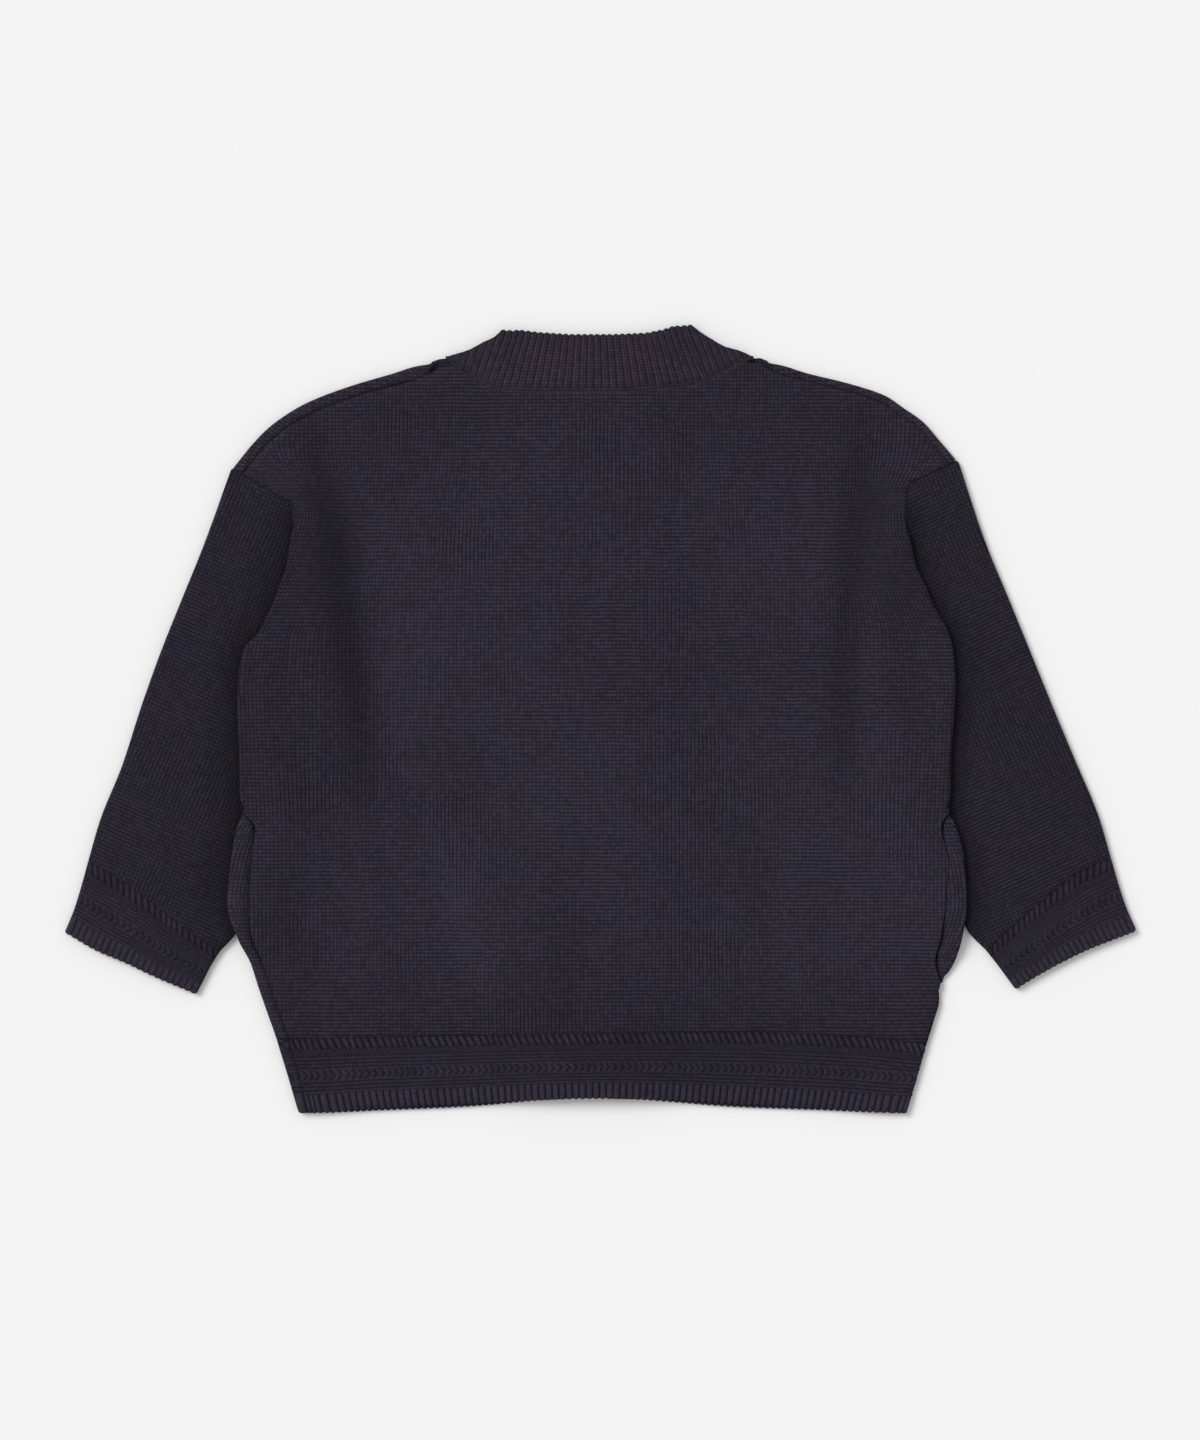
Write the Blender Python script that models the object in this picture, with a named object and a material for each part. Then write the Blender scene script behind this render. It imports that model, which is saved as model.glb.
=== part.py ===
"""A child's knitted cardigan lying face down, neck towards +Y, with its back uppermost.

The cloth is a stack of thin walls on the floor. Every panel has a function that gives a point of its
middle surface in millimetres, and one loop turns such a function into a closed wall of real thickness.
The left of the object is -X, which is also the wearer's left, because the back is uppermost.
"""

import math

import bmesh
import bpy
import numpy as np

MM = 0.001
CLOTH = 2.0
GAP = 0.3
HALF = CLOTH / 2
LAYER = CLOTH + GAP
ROLL = LAYER / 2
ROLL_LENGTH = math.pi * ROLL
LEAST_TURNING = 0.6
ARC_SHARE = 0.6
PASSING_SLACK = 1.5
ROW_BOW = 2.0

HEM_BOTTOM = -222.0
HEM_HEIGHT = 38.0
HEM_TOP = HEM_BOTTOM + HEM_HEIGHT
TIP_ROW = 142.7
CAP_ROW = 121.2
UNDERARM_ROW = 11.0
CROSSING_ROW = -51.0
NECK_RAMP_START = 40.0
FRONT_SLEEVE_RAMP = 22.0
BACK_SLEEVE_RAMP = 40.0
RAMP_CLEAR = 2.5
SLEEVE_STACK = 2 * LAYER
CAP_RAMP = 17.2
UNDERARM_RAMP = 11.5
NECK_LEVEL_ROW = 218.0
NECK_RAMP = 33.0
# The way that the armhole runs from the shoulder's tip. out, up
ARM_WAY = (0.63, -0.78)
SIDE_SHARE = 0.18
TIP_SHARE = 0.88
SEAM_SPACE = 1.5 * GAP
NECK_POINT_SPACE = 3.5 * GAP
SLEEVE_CLEAR = 3.0
SLEEVE_CLEAR_RAMP = 22.0
SWELL_FROM = 0.04
SWELL_RAMP = 0.2
CUFF_FLAT = 0.12

BAND_LEFT = -16.0
BAND_RIGHT = 3.5
BAND_TOP = 183.0
BUTTON_COUNT = 6
BUTTON_DIAMETER = 12.5
BUTTON_THICK = 2.2
BUTTON_FIRST = -203.0
BUTTON_PITCH = 74.0
BUTTON_LIFT = BUTTON_THICK + GAP
FRONT_RAMP = 24.0
BACK_RAMP = 60.0

RIB_PITCH = 3.8
RIB_HEIGHT = 0.7
RIB_ZONE = 9.0
GARTER_HEIGHT = 0.45
GARTER_PITCH = 11.0
HEM_WIDTH = 336.0
# The hem's free edge bows up this far at its middle, over this half width.
HEM_BOW = 8.6
HEM_BOW_HALF = 175.0
# Towards each corner it is a little higher again between these places out.
HEM_SHOULDER = 1.2
HEM_SHOULDER_FROM = 60.0
HEM_SHOULDER_TO = 165.0
HEM_SHOULDER_EASE = (60.0, 40.0)
CUFF_WIDTH = 78.0
FACING_UP = 0.6
CUFF_LENGTH = 37.0
COLLAR_RIBS = 28
SLEEVE_LOFT = 2.6

# One side of the body, from the hem up. Distances are out from the middle line, in millimetres.
# row, rise of the row at this side, outline, seam, back turned under, front turned up over the edge
LEFT_SIDE = (
    (-222.0, 0.0, 170.6, 165.0, 0, 1),
    (-205.0, 0.0, 176.0, 169.5, 0, 1),
    (-184.0, 0.0, 183.0, 175.8, 0, 1),
    (-170.0, 0.0, 187.4, 180.5, 0, 1),
    (-158.0, 0.0, 191.0, 184.5, 0, 1),
    (-150.0, 0.0, 193.6, 187.0, 0, 1),
    (-137.0, 0.0, 197.8, 190.8, 0, 1),
    (-123.4, 0.0, 204.5, 196.5, 0, 1),
    (-104.0, 0.0, 210.4, 198.8, 0, 1),
    (-81.0, 0.0, 208.6, 197.5, 0, 1),
    (-60.0, 0.0, 204.6, 196.0, 0, 1),
    (-51.0, 0.0, 203.4, 203.4, 0, 0),
    (-42.0, 0.0, 203.4, 195.0, 1, 0),
    (-22.3, 0.0, 203.6, 184.0, 1, 0),
    (-0.8, 0.0, 204.5, 172.4, 1, 0),
    (11.0, 0.0, 204.7, 169.5, 1, 0),
    (20.6, 0.0, 204.5, 169.8, 1, 0),
    (40.4, 0.0, 201.1, 170.6, 1, 0),
    (48.9, 0.0, 193.2, 170.9, 1, 0),
    (64.1, 0.0, 185.3, 171.4, 1, 0),
    (85.6, 0.0, 177.4, 172.2, 1, 0),
    (104.0, 0.0, 174.2, 172.9, 1, 0),
    (112.0, 0.0, 173.2, 173.2, 0, 0),
    (121.2, 0.0, 173.5, 173.5, 0, 0),
    (142.7, 0.0, 207.4, 207.4, 0, 0),
)
RIGHT_SIDE = (
    (-222.0, 0.0, 173.5, 168.0, 1, 0),
    (-205.0, 0.0, 178.6, 173.0, 1, 0),
    (-184.0, 0.0, 184.8, 179.0, 1, 0),
    (-170.0, 0.0, 189.0, 183.5, 1, 0),
    (-158.0, 0.0, 192.0, 186.5, 1, 0),
    (-150.0, 0.0, 194.0, 194.0, 0, 0),
    (-137.0, 0.0, 200.4, 191.0, 0, 1),
    (-123.4, 0.0, 204.5, 192.5, 0, 1),
    (-104.0, 0.0, 207.1, 195.0, 0, 1),
    (-81.0, 0.0, 205.9, 196.8, 0, 1),
    (-60.0, 0.0, 201.0, 194.0, 0, 1),
    (-51.0, 0.0, 198.6, 198.6, 0, 0),
    (-42.0, 0.0, 197.9, 190.0, 1, 0),
    (-22.3, 0.0, 198.3, 180.0, 1, 0),
    (-0.8, 0.0, 199.8, 171.4, 1, 0),
    (11.0, 0.0, 200.6, 168.5, 1, 0),
    (20.6, 0.0, 200.8, 168.8, 1, 0),
    (40.4, 0.0, 199.4, 169.6, 1, 0),
    (48.9, 0.0, 197.2, 169.9, 1, 0),
    (64.1, 1.0, 188.4, 170.5, 1, 0),
    (85.6, 2.0, 178.6, 171.4, 1, 0),
    (104.0, 4.0, 173.8, 172.3, 1, 0),
    (112.0, 7.0, 172.3, 172.3, 0, 0),
    (121.2, 11.9, 173.5, 173.5, 0, 0),
    (142.7, 4.4, 201.2, 201.2, 0, 0),
)
SIDES = {-1: LEFT_SIDE, 1: RIGHT_SIDE}

# The back's neck seam, from one neck point to the other. across, up
NECK_SEAM = (
    (-81.5, 200.6), (-76.8, 197.4), (-69.5, 192.0), (-61.0, 187.2), (-41.2, 185.4), (-17.0, 184.8),
    (12.4, 184.8), (32.2, 186.7), (52.0, 189.3), (63.8, 193.5), (74.0, 199.2), (79.5, 202.6),
)
# The front's neck seam from the button band out to the neck point, then the fold along the shoulder.
FRONT_NECK = ((26.0, 152.6), (44.0, 158.6), (63.0, 170.6), (79.0, 187.8), (86.8, 202.6))
SHOULDER_FOLD = {
    -1: (
        (88.0, 204.2), (93.2, 202.6), (119.8, 195.2), (141.8, 188.6), (160.5, 181.7), (173.5, 174.9),
        (183.6, 168.1), (191.5, 161.3), (197.8, 154.5), (207.4, 142.7),
    ),
    1: (
        (88.0, 204.8), (96.0, 202.2), (119.8, 195.4), (148.0, 188.2), (164.4, 181.7), (173.5, 174.9),
        (183.0, 168.1), (189.3, 161.3), (194.4, 155.0), (201.2, 147.1),
    ),
}
NECK_SHARE = 0.42
TURN_FROM = 0.015
TURN_OVER = 0.035
SHOULDER_OVER = {-1: 6.4, 1: 4.4}
BACK_SHOULDER_SHARE = 0.3

# Sleeve outlines from the armhole down. out, up
SLEEVE_OUTER = {
    -1: (
        (208.8, 141.6), (223.7, 100.3), (240.1, 59.6), (255.9, 18.9), (268.9, -21.8), (282.5, -55.7),
        (290.4, -82.8), (296.1, -103.1), (302.8, -120.1),
    ),
    1: (
        (202.9, 145.8), (218.1, 100.3), (235.0, 59.6), (251.4, 18.9), (268.4, -21.8), (282.5, -55.7),
        (290.4, -82.8), (296.6, -103.1), (303.4, -118.9),
    ),
}
SLEEVE_INNER = {
    -1: ((169.8, 10.7), (188.0, -56.0), (205.7, -120.6), (215.8, -132.0), (228.3, -155.1)),
    1: ((168.8, 10.7), (188.0, -54.0), (206.8, -117.2), (219.8, -132.0), (235.0, -152.3)),
}
CUFF_EDGE = {
    -1: ((302.8, -120.1), (284.8, -130.2), (267.8, -137.4), (253.7, -144.2), (228.3, -155.1)),
    1: ((303.4, -118.9), (274.0, -130.6), (261.0, -137.0), (248.6, -143.8), (235.0, -152.3)),
}

# Neckband: the folds at its two sides, from the seam to the free edge, and its edges. out, up
COLLAR_FOLD = {
    -1: ((85.8, 205.3), (78.0, 206.8), (73.5, 207.9), (65.0, 211.6), (58.2, 214.9), (54.0, 218.9)),
    1: ((85.2, 205.4), (78.4, 207.9), (69.5, 209.8), (62.0, 213.4), (55.8, 217.2), (50.2, 221.6)),
}
COLLAR_EDGE_BACK = (
    (-49.8, 219.9), (-46.0, 220.3), (-34.0, 218.9), (-17.0, 217.8), (7.0, 217.8), (26.0, 218.6),
    (35.3, 220.4), (42.2, 222.6), (46.0, 222.6),
)
COLLAR_SEAM_FRONT = ((78.0, 189.6), (63.0, 172.4), (44.0, 160.2), (26.0, 154.0))
COLLAR_EDGE_FRONT = ((49.0, 204.0), (42.0, 193.0), (33.0, 186.0), (24.0, 183.0))

COLOURS = {
    "body": (0.028, 0.024, 0.034),
    "sleeve": (0.025, 0.022, 0.030),
    "band": (0.023, 0.020, 0.028),
    "button": (0.018, 0.017, 0.022),
}
CLOTH_ROUGHNESS = 0.95
BUTTON_ROUGHNESS = 0.35


def ease(t):
    """0 up to 1 with level ends."""
    t = min(1.0, max(0.0, t))
    return t * t * (3 - 2 * t)


def smooth_line(steps, values):
    """A curve through the values that never swings past them."""
    steps = np.asarray(steps, float)
    values = np.asarray(values, float)
    slopes = np.diff(values) / np.diff(steps)
    ends = np.empty_like(values)
    ends[0] = slopes[0]
    ends[-1] = slopes[-1]
    for i in range(1, len(values) - 1):
        before = slopes[i - 1]
        after = slopes[i]
        ends[i] = 0.0 if before * after <= 0 else 2 * before * after / (before + after)

    def at(step):
        i = int(min(len(steps) - 2, max(0, np.searchsorted(steps, step) - 1)))
        width = steps[i + 1] - steps[i]
        t = (step - steps[i]) / width
        flat = (1 + 2 * t) * (1 - t) ** 2 * values[i] + t * t * (3 - 2 * t) * values[i + 1]
        return flat + width * (t * (1 - t) ** 2 * ends[i] + t * t * (t - 1) * ends[i + 1])

    return at


def path(points):
    """A smooth plan curve through the points, read by its share of the length from 0 to 1."""
    points = np.asarray(points, float)
    lengths = np.concatenate([[0.0], np.cumsum(np.linalg.norm(np.diff(points, axis=0), axis=1))])
    shares = lengths / lengths[-1]
    along_x = smooth_line(shares, points[:, 0])
    along_y = smooth_line(shares, points[:, 1])
    return lambda share: np.array([along_x(share), along_y(share)])


def straight(points):
    """A line of straight pieces through the points, read by its share of the length from 0 to 1."""
    points = np.asarray(points, float)
    lengths = np.concatenate([[0.0], np.cumsum(np.linalg.norm(np.diff(points, axis=0), axis=1))])
    shares = lengths / lengths[-1]
    return lambda share: np.array([np.interp(share, shares, points[:, axis]) for axis in (0, 1)])


def mirrored(points, sign):
    return [(sign * out, up) for out, up in points]


def unit(vector):
    return vector / np.linalg.norm(vector)


def roll(distance, turn):
    """How far out and how far up a strip has got, once it has turned through an angle."""
    if turn < 1e-4:
        return distance, 0.0
    radius = ROLL_LENGTH / turn
    angle = turn * min(distance, ROLL_LENGTH) / ROLL_LENGTH
    rest = max(0.0, distance - ROLL_LENGTH)
    out = radius * math.sin(angle) + rest * math.cos(turn)
    return out, radius * (1 - math.cos(angle)) + rest * math.sin(turn)


def strip_length(share, beyond):
    """The length along a turned strip: most of the share is its arc, whatever the length beyond it."""
    if share <= ARC_SHARE:
        return ROLL_LENGTH * share / ARC_SHARE
    return ROLL_LENGTH + beyond * (share - ARC_SHARE) / (1 - ARC_SHARE)


def reach(turn, beyond):
    """How far the strip's outer face stands out from where it starts to turn."""
    if turn < math.pi / 2:
        return roll(ROLL_LENGTH + beyond, turn)[0] + HALF * math.sin(turn)
    return ROLL_LENGTH / turn + HALF


def edge_columns(sign, panel):
    """The panel's edge at each row: its place out, its turn from 0 to 1, and the strip past the turn."""
    rows = []
    table = SIDES[sign]
    for i, (row, rise, outline, seam, under, over) in enumerate(table):
        turned = under if panel == "back" else over
        near = table[max(0, i - 1):i + 2]
        passing = row < 0 and any(r[4] == r[5] for r in near)
        crossing = row < 0 and under == over
        slack = passing if panel == "back" else crossing
        gap = GAP / 2 + (PASSING_SLACK if slack else 0.0)
        beyond = max(LEAST_TURNING, outline - seam - ROLL - HALF - gap) if turned else LEAST_TURNING
        rows.append((row, rise, outline if turned else seam - gap, turned, beyond))
    return np.array(rows, float)


EDGES = {(sign, panel): edge_columns(sign, panel) for sign in (-1, 1) for panel in ("back", "front")}
SEAMS = {sign: np.array(SIDES[sign], float) for sign in (-1, 1)}


def column(table, row, index):
    return float(np.interp(row, table[:, 0], table[:, index]))


def seam_point(sign, row, shift=0.0):
    """A plan point of the side's seam, moved out by the shift."""
    return np.array([sign * (column(SEAMS[sign], row, 3) + shift), row + column(SEAMS[sign], row, 1)])


def side_start(sign, panel, row):
    """Where a panel starts to turn at its side, the way out, its turn and the strip beyond."""
    table = EDGES[sign, panel]
    step = 2.0
    low = max(row - step, table[0, 0])
    high = min(row + step, table[-1, 0])
    rise = high - low + column(table, high, 1) - column(table, low, 1)
    lean = (column(table, high, 2) - column(table, low, 2)) / rise
    slant = column(table, row, 3) if panel == "back" and row > CROSSING_ROW else 0.0
    outward = np.array([sign, -lean * slant])
    arm = np.array([sign * ARM_WAY[0], ARM_WAY[1]])
    outward = unit(outward + (arm - outward) * ease((row - CAP_ROW) / (TIP_ROW - CAP_ROW)))
    turn = math.pi * column(table, row, 3)
    beyond = column(table, row, 4)
    edge = np.array([sign * column(table, row, 2), row + column(table, row, 1)])
    return edge - outward * reach(turn, beyond), outward, turn, beyond


def sleeve_inside(sign, up):
    """How far out the sleeve's inner edge lies under the body at this height, or the armhole above it."""
    if up >= UNDERARM_ROW:
        return column(SEAMS[sign], min(up, CAP_ROW), 3)
    points = np.array(SLEEVE_INNER[sign])[::-1]
    return float(np.interp(up, points[:, 1], points[:, 0]))


def over_sleeve(x, up, width):
    """How far a sleeve lifts what lies on it, ramping up over a width that ends just short of the sleeve."""
    sign = -1 if x < 0 else 1
    below_cap = ease((CAP_ROW - up) / CAP_RAMP)
    inside = sleeve_inside(sign, up) - RAMP_CLEAR
    return SLEEVE_STACK * below_cap * ease((abs(x) - inside + width) / width)


def front_lift(x, up):
    sign = -1 if x < 0 else 1
    sleeve = over_sleeve(x, up, FRONT_SLEEVE_RAMP) * ease((UNDERARM_ROW - up) / UNDERARM_RAMP)
    if sign < 0:
        return sleeve + BUTTON_LIFT * ease(1 - (BAND_LEFT - GAP - x) / FRONT_RAMP)
    return sleeve + (BUTTON_LIFT + LAYER) * ease(1 - (x - BAND_RIGHT - GAP) / FRONT_RAMP)


def back_lift(x, up):
    aside = max(0.0, BAND_LEFT - x, x - BAND_RIGHT)
    over_band = (BUTTON_LIFT + LAYER) * ease(1 - aside / BACK_RAMP) * ease((NECK_LEVEL_ROW - up) / NECK_RAMP)
    return over_sleeve(x, up, BACK_SLEEVE_RAMP) + over_band


def fitted_top(sign):
    """The front's top as a line of points: neck seam, then shoulder fold, each reached by its share."""
    start = BAND_LEFT - GAP if sign < 0 else BAND_RIGHT + GAP
    neck = path([(start, FRONT_NECK[0][1])] + mirrored(FRONT_NECK, sign))
    shoulder = path(mirrored(SHOULDER_FOLD[sign], sign))

    def at(share):
        if share <= NECK_SHARE:
            return neck(share / NECK_SHARE)
        return shoulder((share - NECK_SHARE) / (1 - NECK_SHARE))

    return at


FRONT_TOP_LINE = {sign: fitted_top(sign) for sign in (-1, 1)}


def shoulder_turn(share):
    """The front turns over the shoulder fold, but not at the neck."""
    return math.pi * ease((share - NECK_SHARE - TURN_FROM) / TURN_OVER)


def shoulder_over(sign, bend):
    """The strip past the fold is short where the turn only begins, so that it doesn't stand up."""
    full = SHOULDER_OVER[sign] - ROLL - HALF - GAP
    return LEAST_TURNING + (full - LEAST_TURNING) * ease(bend / math.pi) ** 2


def front_point(sign, u, row, over=0.0):
    """One front's middle surface. u is 0 at the button band and 1 where its side edge starts to turn."""
    share = min(1.0, max(0.0, u))
    start, outward, turn, beyond = side_start(sign, "front", row)
    band = np.array([BAND_LEFT - GAP if sign < 0 else BAND_RIGHT + GAP, row])
    plan = band * (1 - share) + start * share
    ramp_start = CAP_ROW + (NECK_RAMP_START - CAP_ROW) * ease((1 - share) / SIDE_SHARE)
    ramp = min(1.0, max(0.0, (row - ramp_start) / (TIP_ROW - ramp_start)))
    fold = FRONT_TOP_LINE[sign]
    along = unit(fold(min(1.0, share + 0.01)) - fold(max(0.0, share - 0.01)))
    upward = np.array([along[1], -along[0]]) * (-sign)
    arm = unit(seam_point(sign, TIP_ROW) - seam_point(sign, CAP_ROW))
    upward = unit(upward + (arm - upward) * ease((share - TIP_SHARE) / (1 - TIP_SHARE)))
    bend = shoulder_turn(share)
    past = shoulder_over(sign, bend)
    top = fold(share) - upward * reach(bend, past)
    tip = side_start(sign, "front", TIP_ROW)[0]
    base_top = np.array([band[0], TIP_ROW]) * (1 - share) + tip * share
    plan[1] -= ROW_BOW * math.sin(math.pi * share) * (1 - ramp)
    plan = plan + ramp * (top + (tip - seam_point(sign, TIP_ROW, -GAP / 2)) * share ** 8 - base_top)
    rise = 0.0
    if u > 1:
        advance, rise = roll(strip_length(u - 1, beyond), turn)
        plan = plan + outward * advance
    height = HALF + front_lift(plan[0], plan[1]) + rise
    if over > 0:
        advance, up = roll(strip_length(over, past), bend)
        plan = plan + upward * advance
        height += up
    return np.array([plan[0], plan[1], height])


SHOULDER_COLUMNS = [NECK_SHARE + TURN_FROM + TURN_OVER, 0.56, 0.66, 0.76, 0.82, 0.88, 0.94, 1]
FRONT_COLUMNS = [0, 0.06, 0.12, 0.2, 0.31, NECK_SHARE, NECK_SHARE + TURN_FROM, NECK_SHARE + 0.032]
FRONT_COLUMNS += SHOULDER_COLUMNS


def back_shoulder(sign):
    """The back's shoulder seam, made from the end of what each front turns over its shoulder fold."""
    points = []
    for i, u in enumerate(SHOULDER_COLUMNS):
        end = front_point(sign, u, TIP_ROW, 1.0)[:2]
        before = front_point(sign, u, TIP_ROW, ARC_SHARE)[:2]
        points.append(end + unit(end - before) * (NECK_POINT_SPACE if i < 2 else SEAM_SPACE))
    arm = unit(seam_point(sign, CAP_ROW) - seam_point(sign, TIP_ROW))
    tip = seam_point(sign, TIP_ROW, -GAP / 2) + arm * (SHOULDER_OVER[sign] + GAP)
    _, outward, _, beyond = side_start(sign, "back", TIP_ROW)
    points[-1] = tip - outward * (ROLL_LENGTH + beyond)
    return straight([np.array(NECK_SEAM[0 if sign < 0 else -1])] + points)


def back_top_line():
    """The back's top from tip to tip, read by its share: shoulder seam, neck seam, shoulder seam."""
    left = back_shoulder(-1)
    right = back_shoulder(1)
    neck = path(NECK_SEAM)

    def at(share):
        if share < BACK_SHOULDER_SHARE:
            return left(1 - share / BACK_SHOULDER_SHARE)
        if share > 1 - BACK_SHOULDER_SHARE:
            return right((share - 1 + BACK_SHOULDER_SHARE) / BACK_SHOULDER_SHARE)
        return neck((share - BACK_SHOULDER_SHARE) / (1 - 2 * BACK_SHOULDER_SHARE))

    return at


BACK_TOP_LINE = back_top_line()


def back_point(u, row):
    """The back's middle surface. u is -1 and 1 where its edges start to turn, and goes past them."""
    share = (min(1.0, max(-1.0, u)) + 1) / 2
    left = side_start(-1, "back", row)
    right = side_start(1, "back", row)
    plan = left[0] * (1 - share) + right[0] * share
    ramp_start = CAP_ROW + (NECK_RAMP_START - CAP_ROW) * ease((1 - abs(2 * share - 1)) / SIDE_SHARE)
    ramp = min(1.0, max(0.0, (row - ramp_start) / (TIP_ROW - ramp_start)))
    top = side_start(-1, "back", TIP_ROW)[0] * (1 - share) + side_start(1, "back", TIP_ROW)[0] * share
    plan = plan + ramp * (BACK_TOP_LINE(share) - top)
    drop = 0.0
    if abs(u) > 1:
        _, outward, turn, beyond = left if u < 0 else right
        advance, drop = roll(strip_length(abs(u) - 1, beyond), turn)
        plan = plan + outward * advance
    return np.array([plan[0], plan[1], HALF + LAYER + back_lift(plan[0], plan[1]) - drop])


def inset_line(points, sign, way):
    """A fold line moved in to where the fold starts to turn, and the way out of the fold at each share."""
    line = path(mirrored(points, sign))

    def outward(share):
        along = unit(line(min(1.0, share + 0.02)) - line(max(0.0, share - 0.02)))
        return np.array([along[1], -along[0]]) * sign * way

    return lambda share: line(share) - outward(share) * (ROLL + HALF), outward


def sleeve_plan(sign):
    """A plan point of the flat sleeve: across 0 where its outer fold starts, down 0 at the armhole."""
    outer, outer_way = inset_line(SLEEVE_OUTER[sign], sign, -1)
    inner, inner_way = inset_line(SLEEVE_INNER[sign], sign, 1)
    rows = (135.0, 128.0, CAP_ROW, 112.0, 104.0, 85.6, 64.1, 40.4, 20.6)
    top = straight([outer(0.0)] + [seam_point(sign, row, GAP / 2) for row in rows] + [inner(0.0)])
    edge = mirrored(CUFF_EDGE[sign], sign)
    bottom = path([outer(1.0)] + edge[1:-1] + [inner(1.0)])

    def at(across, down):
        flat = top(across) * (1 - down) + bottom(across) * down
        sides = outer(down) * (1 - across) + inner(down) * across
        corners = (top(0) * (1 - across) + top(1) * across) * (1 - down)
        corners = corners + (bottom(0) * (1 - across) + bottom(1) * across) * down
        return flat + sides - corners

    return at, outer_way, inner_way


SLEEVE_PLANS = {sign: sleeve_plan(sign) for sign in (-1, 1)}
FACE_SHARE = 0.42
FOLD_SHARE = 0.08


def sleeve_point(sign, u, down):
    """A sleeve's middle surface round its tube: upper face, inner fold, lower face, outer fold."""
    plan, outer_way, inner_way = SLEEVE_PLANS[sign]
    u = u % 1.0
    turned = 0.0
    way = 0.0
    if u < FACE_SHARE:
        across = u / FACE_SHARE
    elif u < 0.5:
        across = 1.0
        turned = math.pi * (u - FACE_SHARE) / FOLD_SHARE
        way = inner_way(down)
    elif u < 0.5 + FACE_SHARE:
        across = 1 - (u - 0.5) / FACE_SHARE
        turned = math.pi
    else:
        across = 0.0
        turned = math.pi * (1 - (u - 0.5 - FACE_SHARE) / FOLD_SHARE)
        way = outer_way(down)
    spot = plan(across, down) + way * ROLL * math.sin(turned)
    spot[1] -= ROW_BOW * math.sin(math.pi * across) * math.sin(math.pi * down)
    edge = column(SEAMS[sign], spot[1], 2)
    if spot[1] < CAP_ROW:
        clear = ease((abs(spot[0]) - edge - SLEEVE_CLEAR) / SLEEVE_CLEAR_RAMP)
    else:
        clear = ease((down - SWELL_FROM) / SWELL_RAMP)
    at_cuff = ease((1 - down) / CUFF_FLAT + 0.25)
    swell = SLEEVE_LOFT * math.sin(math.pi * across) ** 0.8 * clear * at_cuff
    if turned > 0:
        swell = 0.0
    return np.array([spot[0], spot[1], HALF + ROLL + ROLL * math.cos(turned) + swell])


BACK_COLUMNS = [-1, -0.96, -0.92, -0.88, -0.84, -0.8, -0.74, -0.64, -0.52, -0.4, -0.36, -0.32, -0.27]
BACK_COLUMNS += [-0.2, -0.13, -0.06, 0.01, 0.08, 0.15, 0.22, 0.29, 0.34, 0.4, 0.52, 0.64, 0.74, 0.8]
BACK_COLUMNS += [0.84, 0.88, 0.92, 0.96, 1]


def moved_off(points, distance):
    """A line of plan points moved to its upper side, square to itself."""
    points = np.asarray(points, float)
    along = np.gradient(points, axis=0)
    moved = [p + distance * unit(np.array([-a[1], a[0]])) for p, a in zip(points, along)]
    moved[0] = moved[0] + np.array([0.0, distance])
    moved[-1] = moved[-1] + np.array([0.0, distance])
    return moved


COLLAR_SIDES = {sign: inset_line(COLLAR_FOLD[sign], sign, -1) for sign in (-1, 1)}
# The ribs that reach the free edge stand on this much of the half seam; the others run into the fold.
COLLAR_RIBBED = 0.85
COLLAR_SEAM_REACH = (-62.5, 60.0)
COLLAR_FREE_REACH = (-51.0, 47.4)
COLLAR_BLEND = 0.3


def collar_fold(sign, height):
    """Where the neckband starts to turn at a side, and the way out of that fold."""
    line, outward = COLLAR_SIDES[sign]
    return line(height), outward(height)


def collar_line(middle, height, ribbed):
    """An edge of the neckband on the back, read by u from -1 to 1."""
    points = np.array([collar_fold(-1, height)[0]] + middle + [collar_fold(1, height)[0]])
    lengths = np.concatenate([[0.0], np.cumsum(np.linalg.norm(np.diff(points, axis=0), axis=1))])
    stops = [0.0, *np.interp(ribbed, points[:, 0], lengths), lengths[-1]]

    def at(u):
        length = np.interp(u, (-1, -COLLAR_RIBBED, COLLAR_RIBBED, 1), stops)
        return np.array([np.interp(length, lengths, points[:, axis]) for axis in (0, 1)])

    return at


NECK_POINTS = [back_point(u, TIP_ROW)[:2] for u in BACK_COLUMNS if abs(u) <= 0.4]
COLLAR_SEAM_BACK = collar_line(moved_off(NECK_POINTS, SEAM_SPACE), 0.0, COLLAR_SEAM_REACH)
COLLAR_FREE_BACK = collar_line([np.array(p) for p in COLLAR_EDGE_BACK], 1.0, COLLAR_FREE_REACH)


def collar_front_edges(sign):
    """The seam and the free edge of the neckband's part on one front."""
    stop = BAND_LEFT - GAP if sign < 0 else BAND_RIGHT + GAP
    edges = []
    for height, points in ((0.0, COLLAR_SEAM_FRONT), (1.0, COLLAR_EDGE_FRONT)):
        edges.append(path([collar_fold(sign, height)[0]] + mirrored(points, sign) + [(stop, points[-1][1])]))
    return edges


COLLAR_FRONT = {sign: collar_front_edges(sign) for sign in (-1, 1)}


def collar_bow(sign, height, share):
    """How far the side fold's curve moves the cloth off a straight line, less and less with the share."""
    low, high = (collar_fold(sign, h)[0] for h in (0.0, 1.0))
    bowed = collar_fold(sign, height)[0] - low * (1 - height) - high * height
    return bowed * ease(1 - share / COLLAR_BLEND)


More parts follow.
